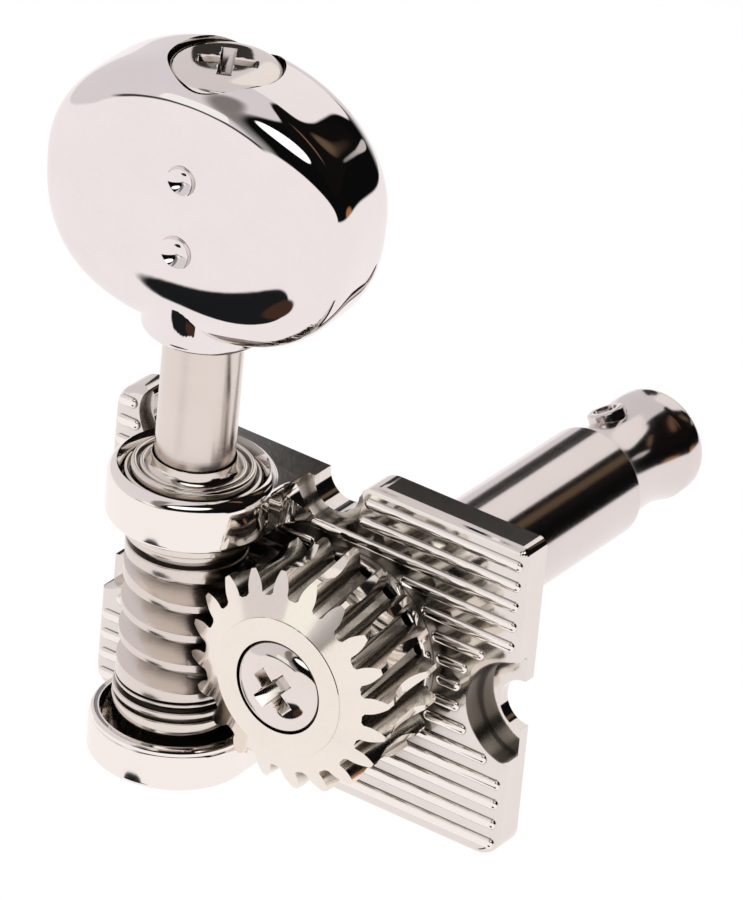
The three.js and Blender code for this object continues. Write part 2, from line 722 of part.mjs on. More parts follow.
// An oval with full faces: a sphere's points pushed out by the powers of its two outlines.
function buttonOval() {
  const ball = new THREE.SphereGeometry(1, buttonSides, buttonRings).rotateX(Math.PI / 2);
  const place = ball.attributes.position;
  const raise = (value, power) => Math.sign(value) * Math.abs(value) ** power;
  for (let i = 0; i < place.count; i += 1) {
    const [x, y, z] = [place.getX(i), place.getY(i), place.getZ(i)];
    const flat = Math.hypot(x, z);
    const outline = z < 0 ? buttonLowerPower : buttonUpperPower;
    const spread = raise(flat, 2 / buttonThicknessPower);
    const cos = flat > 0 ? x / flat : 0;
    const sin = flat > 0 ? z / flat : 0;
    place.setXYZ(i,
      buttonHalfLength * spread * raise(cos, 2 / outline),
      buttonHalfThickness * raise(y, 2 / buttonThicknessPower),
      (z < 0 ? buttonFall : buttonRise) * spread * raise(sin, 2 / outline));
  }
  return ball.rotateZ(buttonTurn).translate(wormX, wormY, buttonCentreZ);
}

function button() {
  const foot = buttonBossFootZ;
  const side = buttonBossRadius - buttonBossRound;
  const boss = onWormAxis([
    [0, foot],
    ...roundPoints(side, foot + buttonBossRound, buttonBossRound, -Math.PI / 2, 0),
    [buttonBossRadius, foot + buttonBossRadius],
    [0, foot + buttonBossRadius],
  ]);
  const sink = onWormAxis([
    [0, buttonSinkZ],
    [buttonScrewHeadRadius + seatClearance, buttonSinkZ],
    [buttonScrewHeadRadius + buttonScrewHeadGap, buttonSeatZ],
    [buttonScrewHeadRadius + buttonScrewHeadGap, buttonSeatZ + overrun],
    [0, buttonSeatZ + overrun],
  ]);
  const tenon = stemTenonFlat + seatClearance;
  const socketRadius = stemRadius - stemChamfer + seatClearance;
  const socket = onWormAxis(rod(socketRadius, foot - overrun, stemTenonTop + endClearance), smallSegments)
    .intersect(boxSolid(wormX - stemRadius, wormX + stemRadius, wormY - tenon, wormY + tenon,
      foot - 2 * overrun, stemTenonTop + overrun));
  const shank = onWormAxis(rod(screwShankRadius + seatClearance, stemTenonTop, buttonSinkZ + overrun), smallSegments);
  const dimple = (rise) => {
    const ball = new THREE.SphereGeometry(dimpleRadius, dimpleSides, dimpleRings);
    ball.translate(0, -buttonHalfThickness - dimpleRadius + dimpleSink, 0).rotateZ(buttonTurn);
    return solidOf(ball.translate(wormX, wormY, buttonCentreZ + rise));
  };
  return solidOf(buttonOval()).add(boss).subtract(sink).subtract(socket).subtract(shank)
    .subtract(dimple(dimpleUpperRise)).subtract(dimple(-dimpleLowerFall));
}

function nickel(color, roughness) {
  return new THREE.MeshStandardMaterial({ color, roughness, metalness: 1 });
}

function part(name, solid, material) {
  const mesh = new THREE.Mesh(geometryOf(solid), material);
  mesh.name = name;
  return mesh;
}

const fixed = new THREE.Group();
fixed.add(part('base_plate', basePlate(), nickel(0xd8d2cc, 0.18)));
fixed.add(part('retaining_bush', retainingBush(), nickel(0xd2ccc6, 0.2)));
fixed.add(part('upper_thrust_washer', thrustWasher(upperWasherZ, stemRadius), nickel(0xcfcac4, 0.3)));
fixed.add(part('lower_thrust_washer', thrustWasher(lowerWasherZ, journalRadius), nickel(0xcdc8c2, 0.3)));
fixed.add(part('lower_bush', lowerBush(), nickel(0xc9c4be, 0.28)));

const spindle = new THREE.Group();
spindle.add(part('worm_shaft', wormShaft(), nickel(0xcfc7bf, 0.3)));
spindle.add(part('button', button(), nickel(0xe4dedb, 0.08)));
spindle.add(part('button_screw', buttonScrew(), nickel(0xd9d4cf, 0.2)));

const drive = new THREE.Group();
drive.add(part('gear', gear(), nickel(0xe0dad3, 0.25)));
drive.add(part('gear_screw', gearScrew(), nickel(0xd9d4cf, 0.18)));
drive.add(part('string_post', stringPost(), nickel(0xd0c8c2, 0.16)));

const tuningMachine = new THREE.Group();
tuningMachine.add(fixed, spindle, drive);

export default tuningMachine;
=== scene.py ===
import logging
import math
from dataclasses import dataclass, field
from enum import Enum
from typing import Callable, Iterable, Optional, Sequence

import bmesh
import bpy
from mathutils import Matrix, Vector

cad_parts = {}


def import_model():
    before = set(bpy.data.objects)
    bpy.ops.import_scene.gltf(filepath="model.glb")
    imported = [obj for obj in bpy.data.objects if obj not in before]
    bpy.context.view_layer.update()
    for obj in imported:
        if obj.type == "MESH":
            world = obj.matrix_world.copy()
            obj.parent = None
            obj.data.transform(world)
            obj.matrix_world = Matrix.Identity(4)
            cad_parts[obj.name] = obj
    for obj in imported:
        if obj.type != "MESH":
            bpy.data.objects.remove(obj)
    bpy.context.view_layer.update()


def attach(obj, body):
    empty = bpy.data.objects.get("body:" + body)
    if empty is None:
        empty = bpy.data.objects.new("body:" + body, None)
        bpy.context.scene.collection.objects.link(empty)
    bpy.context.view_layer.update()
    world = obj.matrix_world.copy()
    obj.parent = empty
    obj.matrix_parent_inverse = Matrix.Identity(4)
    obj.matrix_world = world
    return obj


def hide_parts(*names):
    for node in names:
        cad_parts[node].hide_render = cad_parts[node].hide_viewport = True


LOG = logging.getLogger("tuning_machine")
MILLIMETRE = 0.001
# How near a corner counts as being at a place, in millimetres
NEAR = 0.01
# How strongly the painted shade in corners and the painted highlight on proud ribs tell on every finish
SKY_SPAN = 0.65
PAINTED_SHADE_DARKNESS = 0.26
# Painted highlight: proud ribs are painted brighter by this factor
PAINTED_HIGHLIGHT_GAIN = 1.14
Profile = Sequence[tuple[float, float]]
Test = Callable[[Vector], bool]


class Axis(Enum):
    """The axis that a turned piece stands on."""

    SHAFT = "shaft"
    POST = "post"


class Cut(Enum):
    """What a boolean does with its tool."""

    TAKE = "DIFFERENCE"
    JOIN = "UNION"
    KEEP = "INTERSECT"


class Grain(Enum):
    """The marks that a machine left on a surface."""

    CAST = "cast"
    TURNED_SHAFT = "turned about Z"
    TURNED_POST = "turned about Y"


@dataclass(frozen=True)
class Layout:
    """Places that several pieces share, in millimetres."""

    shaft_x: float = -8.26
    shaft_y: float = -5.34

    def on_shaft(self, z: float = 0.0) -> tuple[float, float, float]:
        """Returns the point of the worm shaft's axis at height z."""
        return (self.shaft_x, self.shaft_y, z)


LAYOUT = Layout()


class Bench:
    """Modelling steps shared by all pieces. It works in millimetres."""

    @staticmethod
    def clear() -> None:
        """Leaves edit mode and deselects everything."""
        active = bpy.context.view_layer.objects.active
        if active is not None and active.mode != "OBJECT":
            bpy.ops.object.mode_set(mode="OBJECT")
        bpy.ops.object.select_all(action="DESELECT")

    @staticmethod
    def take(piece: bpy.types.Object) -> None:
        """Makes one piece the only selected and active one.

        Args:
            piece: the object to work on.
        """
        Bench.clear()
        piece.select_set(True)
        bpy.context.view_layer.objects.active = piece

    @staticmethod
    def edit(piece: bpy.types.Object, mode: str = "VERT") -> bmesh.types.BMesh:
        """Opens a piece in edit mode with nothing selected.

        Args:
            piece: the object to work on.
            mode: VERT, EDGE or FACE.

        Returns:
            The edit mesh, for selecting by place.
        """
        Bench.take(piece)
        bpy.ops.object.mode_set(mode="EDIT")
        bpy.ops.mesh.select_mode(type=mode)
        bpy.ops.mesh.select_all(action="DESELECT")
        return bmesh.from_edit_mesh(piece.data)

    @staticmethod
    def pick(piece: bpy.types.Object, test: Test) -> None:
        """Selects the vertices of an edited piece that pass a test.

        Args:
            piece: the object in edit mode.
            test: says for a vertex's place whether it is selected.
        """
        mesh = bmesh.from_edit_mesh(piece.data)
        for vertex in mesh.verts:
            vertex.select_set(test(vertex.co))
        mesh.select_flush_mode()
        bmesh.update_edit_mesh(piece.data)

    @staticmethod
    def settle(piece: bpy.types.Object) -> None:
        """Writes a piece's place, turn and scale into its mesh."""
        Bench.take(piece)
        bpy.ops.object.transform_apply(location=True, rotation=True, scale=True)

    @staticmethod
    def weld(piece: bpy.types.Object, distance: float = 0.0005) -> None:
        """Merges doubles and turns all faces outward.

        Args:
            piece: a closed mesh.
            distance: how near two vertices are when they become one.
        """
        Bench.edit(piece)
        bpy.ops.mesh.select_all(action="SELECT")
        bpy.ops.mesh.remove_doubles(threshold=distance)
        bpy.ops.mesh.normals_make_consistent(inside=False)
        bpy.ops.object.mode_set(mode="OBJECT")

    @staticmethod
    def apply(piece: bpy.types.Object, kind: str, **settings: object) -> None:
        """Adds a modifier and applies it at once.

        Args:
            piece: the object to change.
            kind: the modifier's type.
            **settings: its values.
        """
        Bench.take(piece)
        modifier = piece.modifiers.new(kind.lower(), kind)
        for key, value in settings.items():
            setattr(modifier, key, value)
        bpy.ops.object.modifier_apply(modifier=modifier.name)

    @staticmethod
    def cut(piece: bpy.types.Object, tool: bpy.types.Object, how: Cut = Cut.TAKE) -> None:
        """Cuts a piece with a tool, or joins the two, and throws the tool away.

        Args:
            piece: the object to change.
            tool: a closed mesh.
            how: take away, join or keep what is common.
        """
        Bench.apply(piece, "BOOLEAN", operation=how.value, solver="EXACT", object=tool)
        mesh = tool.data
        bpy.data.objects.remove(tool)
        bpy.data.meshes.remove(mesh)

    @staticmethod
    def ease(piece: bpy.types.Object, width: float, segments: int = 2, angle: float = 35.0) -> None:
        """Rounds the sharp edges of a piece.

        Args:
            piece: the object to change.
            width: the width of the rounding.
            segments: the steps across it.
            angle: edges sharper than this many degrees are rounded.
        """
        Bench.apply(piece, "BEVEL", width=width, segments=segments, limit_method="ANGLE",
                    angle_limit=math.radians(angle), use_clamp_overlap=True, miter_outer="MITER_ARC")

    @staticmethod
    def join(pieces: Sequence[bpy.types.Object]) -> bpy.types.Object:
        """Joins separate shells to one object.

        Args:
            pieces: the objects, the first of which is kept.

        Returns:
            The joined object.
        """
        Bench.take(pieces[0])
        for piece in pieces:
            piece.select_set(True)
        bpy.ops.object.join()
        return pieces[0]

    @staticmethod
    def peg(radius: float, length: float, centre: Sequence[float], axis: Axis = Axis.POST,
            sides: int = 96) -> bpy.types.Object:
        """Adds a round tool or boss.

        Args:
            radius: its radius.
            length: its length.
            centre: its middle.
            axis: the direction that it stands in.
            sides: how many sides it has.

        Returns:
            The new object.
        """
        Bench.clear()
        tilt = (math.pi / 2, 0.0, 0.0) if axis is Axis.POST else (0.0, 0.0, 0.0)
        bpy.ops.mesh.primitive_cylinder_add(vertices=sides, radius=radius, depth=length, location=centre,
                                            rotation=tilt)
        piece = bpy.context.object
        Bench.settle(piece)
        return piece

    @staticmethod
    def block(low: Sequence[float], high: Sequence[float]) -> bpy.types.Object:
        """Adds a box between two corners.

        Args:
            low: its lowest corner.
            high: its highest corner.

        Returns:
            The new object.
        """
        Bench.clear()
        middle = [(a + b) / 2 for a, b in zip(low, high)]
        bpy.ops.mesh.primitive_cube_add(size=1.0, location=middle,
                                        scale=[b - a for a, b in zip(low, high)])
        piece = bpy.context.object
        Bench.settle(piece)
        return piece

    @staticmethod
    def turn(profile: Profile, axis: Axis = Axis.SHAFT, sides: int = 128, closed: bool = False,
             centre: Optional[Sequence[float]] = None) -> bpy.types.Object:
        """Turns a piece by drawing a circle out ring after ring.

        Args:
            profile: points of (radius, height); a solid one starts and ends with a flat or tiny end.
            axis: the axis that it stands on.
            sides: how many sides it has.
            closed: whether the profile runs round to its start, as on a washer.
            centre: where the axis stands, the shared axis if left out.

        Returns:
            The new object.
        """
        Bench.clear()
        radius, height = profile[0]
        bpy.ops.mesh.primitive_circle_add(vertices=sides, radius=radius, location=(0.0, 0.0, height),
                                          fill_type="NOTHING" if closed else "NGON")
        piece = bpy.context.object
        Bench.settle(piece)
        bpy.ops.object.mode_set(mode="EDIT")
        bpy.ops.mesh.select_mode(type="EDGE" if closed else "FACE")
        bpy.ops.mesh.select_all(action="SELECT")
        for following, lift in list(profile[1:]) + ([profile[0]] if closed else []):
            bpy.ops.mesh.extrude_region_move(TRANSFORM_OT_translate={"value": (0.0, 0.0, lift - height)})
            grow = following / radius
            bpy.ops.transform.resize(value=(grow, grow, 1.0), center_override=(0.0, 0.0, lift))
            radius, height = following, lift
        bpy.ops.object.mode_set(mode="OBJECT")
        Bench.weld(piece)
        if axis is Axis.POST:
            piece.rotation_euler = (-math.pi / 2, 0.0, 0.0)
        if centre is not None:
            piece.location = centre
        elif axis is Axis.SHAFT:
            piece.location = LAYOUT.on_shaft()
        Bench.settle(piece)
        return piece

    @staticmethod
    def arc(radius: float, height: float, bend: float, start: float, end: float,
            steps: int = 6) -> list[tuple[float, float]]:
        """Gives the points of a rounding in a turned profile.

        Args:
            radius: the radius at which its centre lies.
            height: the height of its centre.
            bend: its own radius.
            start: its first angle in degrees, from outward to up.
            end: its last angle.
            steps: how many steps it takes.

        Returns:
            The points in order.
        """
        turns = [math.radians(start + (end - start) * i / steps) for i in range(steps + 1)]
        return [(radius + bend * math.cos(t), height + bend * math.sin(t)) for t in turns]

    @staticmethod
    def finish(piece: bpy.types.Object, name: str, body: str, node: str, angle: float = 32.0,
               weighted: bool = True) -> bpy.types.Object:
        """Brings a finished piece to metres, smooths it and puts it in its node's place.

        Args:
            piece: the object, in millimetres.
            name: its name.
            body: the body that it rides on.
            node: the CAD node that it stands for.
            angle: edges sharper than this many degrees stay sharp.
            weighted: whether flat faces hold their shading flat.

        Returns:
            The finished object.
        """
        Bench.take(piece)
        piece.scale = (MILLIMETRE,) * 3
        Bench.settle(piece)
        bpy.ops.object.shade_smooth_by_angle(angle=math.radians(angle))
        if weighted:
            Bench.apply(piece, "WEIGHTED_NORMAL", mode="FACE_AREA", keep_sharp=True, weight=60)
        piece.name = name
        piece.data.name = name
        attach(piece, body)
        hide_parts(node)
        LOG.info("%s: %d faces, stands for %s", name, len(piece.data.polygons), node)
        return piece


class Wire:
    """An output of a shader net that can be reckoned with as a number."""

    def __init__(self, net: "Net", socket: bpy.types.NodeSocket) -> None:
        """Keeps the net and the socket."""
        self.net = net
        self.socket = socket

    def _sum(self, operation: str, first: object, second: object) -> "Wire":
        """Adds one Math node.

        Args:
            operation: the node's operation.
            first: its first value or link.
            second: its second value or link.

        Returns:
            The result.
        """
        return self.net.node("ShaderNodeMath", {"operation": operation}, {0: first, 1: second})

    def __add__(self, other: object) -> "Wire":
        """Adds."""
        return self._sum("ADD", self, other)

    def __radd__(self, other: object) -> "Wire":
        """Adds, with the number first."""
        return self._sum("ADD", other, self)

    def __sub__(self, other: object) -> "Wire":
        """Subtracts."""
        return self._sum("SUBTRACT", self, other)

    def __rsub__(self, other: object) -> "Wire":
        """Subtracts from a number."""
        return self._sum("SUBTRACT", other, self)

    def __mul__(self, other: object) -> "Wire":
        """Multiplies."""
        return self._sum("MULTIPLY", self, other)

    def __rmul__(self, other: object) -> "Wire":
        """Multiplies, with the number first."""
        return self._sum("MULTIPLY", other, self)

    def __pow__(self, other: object) -> "Wire":
        """Raises to a power."""
        return self._sum("POWER", self, other)

    def size(self) -> "Wire":
        """Returns the value without its sign."""
        return self._sum("ABSOLUTE", self, 0.0)

    def at_least(self, other: object) -> "Wire":
        """Returns the greater of the two."""
        return self._sum("MAXIMUM", self, other)

    def at_most(self, other: object) -> "Wire":
        """Returns the smaller of the two."""
        return self._sum("MINIMUM", self, other)

    def ramp(self, low: float, high: float) -> "Wire":
        """Returns 0 below low, 1 above high and a smooth rise between.

        Args:
            low: where the rise starts.
            high: where it ends.
        """
        return self.net.node("ShaderNodeMapRange", {"interpolation_type": "SMOOTHSTEP"},
                             {"Value": self, "From Min": low, "From Max": high})


class Net:
    """A shader net that is built from short calls."""

    def __init__(self, tree: bpy.types.NodeTree) -> None:
        """Keeps the tree and empties it."""
        self.tree = tree
        tree.nodes.clear()

    def node(self, kind: str, settings: Optional[dict] = None, inputs: Optional[dict] = None,
             output: object = 0) -> Wire:
        """Adds any node.

        Args:
            kind: the node's type.
            settings: its settings, which are set first.
            inputs: values or links by the name or number of their socket.
            output: the name or number of the output that is wanted.

        Returns:
            The output.
        """
        made = self.tree.nodes.new(kind)
        for key, value in (settings or {}).items():
            setattr(made, key, value)
        for key, value in (inputs or {}).items():
            if isinstance(value, Wire):
                self.tree.links.new(value.socket, made.inputs[key])
            else:
                made.inputs[key].default_value = value
        return Wire(self, made.outputs[output])

    def output(self, kind: str, shader: Wire) -> None:
        """Adds the output node.

        Args:
            kind: the output node's type.
            shader: what it shows.
        """
        made = self.tree.nodes.new(kind)
        self.tree.links.new(shader.socket, made.inputs["Surface"])

    def place(self, stretch: Sequence[float] = (1.0, 1.0, 1.0),
              centre: Sequence[float] = (0.0, 0.0, 0.0)) -> Wire:
        """Returns the object's own coordinates, in millimetres, moved and stretched.

        Args:
            stretch: the scale along each axis.
            centre: the point, in millimetres, that becomes zero.
        """
        place = self.node("ShaderNodeTexCoord", output="Object")
        shift = [-c * s for c, s in zip(centre, stretch)]
        return self.node("ShaderNodeMapping", {}, {"Vector": place, "Location": shift,
                                                   "Scale": [s / MILLIMETRE for s in stretch]})

    def noise(self, vector: Wire, scale: float, detail: float = 3.0, rough: float = 0.55) -> Wire:
        """Returns a soft noise between 0 and 1.

        Args:
            vector: where it is read.
            scale: its waves per millimetre.
            detail: its octaves.
            rough: how strong the fine ones are.
        """
        return self.node("ShaderNodeTexNoise", {"noise_dimensions": "3D"},
                         {"Vector": vector, "Scale": scale, "Detail": detail, "Roughness": rough})

    def blend(self, factor: object, first: object, second: object) -> Wire:
        """Mixes two colours.

        Args:
            factor: 0 for the first, 1 for the second.
            first: a colour or link.
            second: a colour or link.
        """
        return self.node("ShaderNodeMix", {"data_type": "RGBA"}, {0: factor, 6: first, 7: second}, output=2)


@dataclass(frozen=True)
class MetalFinish:
    """Nickel plate with the marks of how the piece was made, with painted shade in its corners and a painted
    highlight on proud ribs.

    Attributes:
        name: the material's name.
        colour: the bare reflection of the metal.
        shade: the colour of its dull spots, and, darkened, of the painted shade in its corners.
        roughness: how dull the surface is.
        spread: how far the dullness varies.
        grain: the direction of the machining marks.
        grain_depth: the depth of these marks, in millimetres.
        ripple: the depth of the slow waviness under the plating, in millimetres.
        crevice: how much painted shade the corners get.
        reach: how far from a corner the painted shade reaches, in millimetres.
        open_sky: the share of free sky above which a place gets no painted shade.
        shade_band_y: the band along Y, in millimetres, to which the painted shade keeps; what stands in front
            gets a painted highlight.
        pocket: the X, Z and radius of a screw's sink whose wall gets painted shade too, in millimetres.
    """

    name: str
    colour: tuple[float, float, float] = (0.78, 0.73, 0.68)
    shade: tuple[float, float, float] = (0.56, 0.50, 0.42)
    roughness: float = 0.07
    spread: float = 0.05
    grain: Grain = Grain.CAST
    grain_depth: float = 0.0
    ripple: float = 0.004
    crevice: float = 0.5
    reach: float = 0.9
    open_sky: float = 0.75
    shade_band_y: Optional[tuple[float, float]] = None
    pocket: Optional[tuple[float, float, float]] = None

    def _marks(self, net: Net) -> Wire:
        """Returns the machining marks as a number between 0 and 1."""
        if self.grain is Grain.TURNED_SHAFT:
            return net.noise(net.place((0.12, 0.12, 9.0), LAYOUT.on_shaft()), 1.0, 4.0, 0.7)
        if self.grain is Grain.TURNED_POST:
            return net.noise(net.place((0.12, 9.0, 0.12)), 1.0, 4.0, 0.7)
        return net.noise(net.place(), 5.0, 4.0, 0.6)

    def material(self) -> bpy.types.Material:
        """Builds the material, or returns it if it is built already."""
        if self.name in bpy.data.materials:
            return bpy.data.materials[self.name]
        made = bpy.data.materials.new(self.name)
        made.use_nodes = True
        net = Net(made.node_tree)
        marks = self._marks(net)
        cloud = net.noise(net.place(), 0.35, 3.0, 0.5)
        specks = net.noise(net.place(), 14.0, 2.0, 0.6).ramp(0.68, 0.8)
        # Painted shade: an occlusion test darkens corners, crevices and faces under other parts towards a
        # dark shade colour.
        sky = net.node("ShaderNodeAmbientOcclusion", {"samples": 8, "only_local": False},
                       {"Distance": self.reach * MILLIMETRE}, output="AO")
        corner = 1.0 - sky.ramp(self.open_sky - SKY_SPAN, self.open_sky)
        painted_shade = (corner * self.crevice).at_most(1.0)
        painted_rib_highlight = 0.0
        # Painted highlight: faces in front of the shade band, the proud ribs, are painted brighter and kept
        # clear of the painted shade; behind the band no painted shade is laid.
        if self.shade_band_y is not None:
            along = net.node("ShaderNodeSeparateXYZ", {}, {"Vector": net.place()}, output="Y")
            painted_rib_highlight = 1.0 - along.ramp(self.shade_band_y[0] - 0.08, self.shade_band_y[0])
            painted_shade = painted_shade * (1.0 - painted_rib_highlight) * (1.0 - along.ramp(self.shade_band_y[1] - 0.2, self.shade_band_y[1]))
        # Painted shade on the wall of a screw's sink, left off the painted rib highlight.
        if self.pocket is not None:
            across, up, radius = self.pocket
            away = net.node("ShaderNodeVectorMath", {"operation": "LENGTH"},
                            {0: net.place((1.0, 0.0, 1.0), (across, 0.0, up))}, output="Value")
            side = net.node("ShaderNodeSeparateXYZ", {}, {"Vector": net.place()}, output="X")
            wall = away.ramp(radius - 0.3, radius - 0.1) * (1.0 - away.ramp(radius + 0.03, radius + 0.1))
            wall = wall * (1.0 - side.ramp(across - 0.55, across - 0.4))
            painted_shade = (painted_shade + wall * (1.0 - painted_rib_highlight) * 0.9).at_most(1.0)
        wear = (cloud - 0.5) * 0.2 + marks * 0.12 + specks * 0.25
        tone = net.blend(wear, (*self.colour, 1.0), (*self.shade, 1.0))
        # Painted highlight on the proud ribs, then painted shade in corners and sinks.
        tone = net.blend(painted_rib_highlight, tone, (*[min(1.0, c * PAINTED_HIGHLIGHT_GAIN) for c in self.colour], 1.0))
        colour = net.blend(painted_shade, tone, (*[c * PAINTED_SHADE_DARKNESS for c in self.shade], 1.0))
        rough = self.roughness + (marks - 0.5) * (2 * self.spread) + specks * 0.08 + painted_shade * 0.2
        ripple = net.node("ShaderNodeBump", {}, {"Strength": 1.0, "Distance": self.ripple * MILLIMETRE,
                                                 "Height": cloud})
        normal = net.node("ShaderNodeBump", {}, {"Strength": 1.0, "Height": marks, "Normal": ripple,
                                                 "Distance": self.grain_depth * MILLIMETRE})
        shader = net.node("ShaderNodeBsdfPrincipled", {}, {
            "Base Color": colour, "Metallic": 1.0, "Roughness": rough.at_least(0.02), "Normal": normal})
        net.output("ShaderNodeOutputMaterial", shader)
        return made

    def dress(self, piece: bpy.types.Object) -> None:
        """Gives a piece this finish.

        Args:
            piece: the object.
        """
        piece.data.materials.clear()
        piece.data.materials.append(self.material())


# Every finish gets painted shade in its corners through crevice, reach and open_sky; the ribbed plate also
# gets a painted highlight on its ribs and painted shade on its screw sink walls.
MIRROR = MetalFinish("mirror_nickel", colour=(0.84, 0.80, 0.79), roughness=0.025, spread=0.008, ripple=0.003,
                     crevice=0.35)
SCREW = MetalFinish("polished_screw", colour=(0.80, 0.75, 0.71), shade=(0.58, 0.47, 0.28), roughness=0.06,
                    spread=0.03, ripple=0.006, grain_depth=0.0004, crevice=0.9, reach=1.3)
RIBBED = MetalFinish("polished_ribs", colour=(0.79, 0.75, 0.71), roughness=0.07, spread=0.03, ripple=0.005,
                     grain_depth=0.0006, crevice=0.95, reach=4.8, open_sky=0.81,
                     shade_band_y=(-1.93, -0.9), pocket=(10.35, -0.35, 3.0))
TURNED_SHAFT = MetalFinish("turned_nickel_shaft", colour=(0.75, 0.69, 0.64), roughness=0.2, spread=0.08,
                           grain=Grain.TURNED_SHAFT, grain_depth=0.0015, crevice=0.9, reach=1.2, open_sky=0.8)
BRIGHT_SHAFT = MetalFinish("bright_turned_bush", colour=(0.78, 0.73, 0.67), roughness=0.1, spread=0.05,
                           grain=Grain.TURNED_SHAFT, grain_depth=0.0008, crevice=0.7)
GEAR_FACE = MetalFinish("turned_gear", colour=(0.88, 0.83, 0.75), roughness=0.1, spread=0.05,
                        grain=Grain.CAST, grain_depth=0.0008, crevice=0.95, reach=2.6, open_sky=0.92)
TURNED_POST = MetalFinish("turned_nickel_post", colour=(0.74, 0.69, 0.67), roughness=0.13, spread=0.06,
                          grain=Grain.TURNED_POST, grain_depth=0.001, crevice=0.5)


@dataclass
class BasePlate:
    """The ribbed die-cast plate with its lugs, seat and notches."""

    left: float = -15.85
    right: float = 10.0
    half_height: float = 9.25
    thickness: float = 1.9
    edge_round: float = 0.45
    low_corner: float = 1.3
    inner_corner: float = 0.5
    outer_corner: float = 1.6
    rib_count: int = 15
    rib_pitch: float = 1.178
    rib_width: float = 0.6
    rib_height: float = 0.17
    rib_power: float = 0.72
    rib_margin: float = 0.35
    top_rib_margin: float = 0.0
    side_notch: tuple[float, float] = (1.45, 3.0)
    side_out: tuple[float, float] = (0.0, 0.35)
    side_drop: float = 0.35
    top_notch: tuple[float, float] = (1.4, 1.95)
    top_notch_x: float = -2.0
    outer_notch_x: float = -12.3
    top_notch_z: float = 8.1
    side_sink: float = 1.2
    top_sink: float = 0.5
    block_corner: float = 1.6
    seat_radius: float = 5.2
    seat_front: float = -2.65
    post_bore: float = 3.275
    post_bore_length: float = 8.0
    seat_round: float = 0.2
    lug_radius: float = 4.4
    cup_proud: float = 0.004
    lug_round: float = 0.62
    upper_round: float = 0.78
    upper: tuple[float, float] = (5.73, 8.7)
    arm_drop: float = 0.5
    arm_round: float = 0.38
    arm_fillet: float = 1.7
    tongue_inset: float = 0.06
    tongue_step: float = 0.03
    lower: tuple[float, float] = (-8.45, -6.0)
    bush_bore: float = 3.65
    bush_sink: float = 4.0
    bush_sink_depth: float = 0.55
    cup_bore: float = 3.89
    cup_floor: float = -7.4
    bore_overrun: tuple[float, float] = (1.4, 1.6)
    peg_overrun: float = 1.5
    fine_edge: float = 0.07

    def _slab(self) -> bpy.types.Object:
        """Makes the plain slab with its rounded corners and front edge."""
        slab = Bench.block((self.left, -self.thickness, -self.half_height),
                           (self.right, 0.0, self.half_height))
        corners = [(self.right, -1, self.low_corner), (self.right, 1, self.inner_corner),
                   (self.left, 1, self.outer_corner), (self.left, -1, self.low_corner)]
        for x, side, radius in corners:
            mesh = Bench.edit(slab, "EDGE")
            for edge in mesh.edges:
                middle = (edge.verts[0].co + edge.verts[1].co) / 2
                edge.select_set(abs(middle.x - x) < NEAR and abs(middle.z - side * self.half_height) < NEAR)
            bpy.ops.mesh.bevel(offset=radius, segments=10, affect="EDGES")
            bpy.ops.object.mode_set(mode="OBJECT")
        mesh = Bench.edit(slab, "EDGE")
        for edge in mesh.edges:
            edge.select_set(all(abs(v.co.y + self.thickness) < NEAR for v in edge.verts))
        bpy.ops.mesh.bevel(offset=self.edge_round, segments=6, affect="EDGES")
        bpy.ops.object.mode_set(mode="OBJECT")
        return slab

    def _edge_notch(self, x: float, corner: float, away: int) -> bpy.types.Object:
        """Makes the tool for a notch in the top edge, with one eased side.

        Args:
            x: the notch's middle.
            corner: the radius of its eased side.
            away: 1 if that side is the right one, -1 if it is the left one.

        Returns:
            The tool.
        """
        radius = self.top_notch[0]
        top = self.half_height
        depth = self.thickness + 3.0
        tool = Bench.peg(radius, depth, (x, -self.thickness / 2, self.top_notch_z))
        Bench.cut(tool, Bench.block((x - radius, -self.thickness - 1.5, self.top_notch_z),
                                    (x + radius, 1.5, top + 1.0)), Cut.JOIN)
        side = x + away * radius
        low = min(side, side + away * corner)
        flare = Bench.block((low - 0.002, -self.thickness - 1.0, top - corner),
                            (low + corner + 0.002, 1.0, top + 1.0))
        centre = (side + away * corner, -self.thickness / 2, top - corner)
        Bench.cut(flare, Bench.peg(corner, depth + 1.0, centre))
        Bench.cut(tool, flare, Cut.JOIN)
        return tool

    def _tongue(self, foot: float, top: float, radius: float, rounding: float) -> bpy.types.Object:
        """Makes the round-ended tongue between a lug and the plate.

        Args:
            foot: its lowest height.
            top: its highest height.
            radius: half its width.
            rounding: the radius along its edges.

        Returns:
            The new object.
        """
        wide, bend = radius + self.arm_fillet, self.arm_fillet
        half = [(wide, -self.thickness / 2)]
        half += Bench.arc(wide, -self.thickness - bend, bend, 90, 180, 12)
        half += Bench.arc(0.0, LAYOUT.shaft_y, radius, 0, -90, 32)
        outline = half + [(-x, y) for x, y in reversed(half[:-1])]
        Bench.clear()
        bpy.ops.mesh.primitive_circle_add(vertices=len(outline), radius=radius, fill_type="NGON")
        piece = bpy.context.object
        for vertex, (x, y) in zip(piece.data.vertices, outline):
            vertex.co = (LAYOUT.shaft_x + x, y, foot)
        Bench.take(piece)
        bpy.ops.object.mode_set(mode="EDIT")
        bpy.ops.mesh.select_mode(type="FACE")
        bpy.ops.mesh.select_all(action="SELECT")
        bpy.ops.mesh.extrude_region_move(TRANSFORM_OT_translate={"value": (0.0, 0.0, top - foot)})
        bpy.ops.object.mode_set(mode="OBJECT")
        Bench.weld(piece)
        Bench.ease(piece, rounding, 5, 60.0)
        return piece

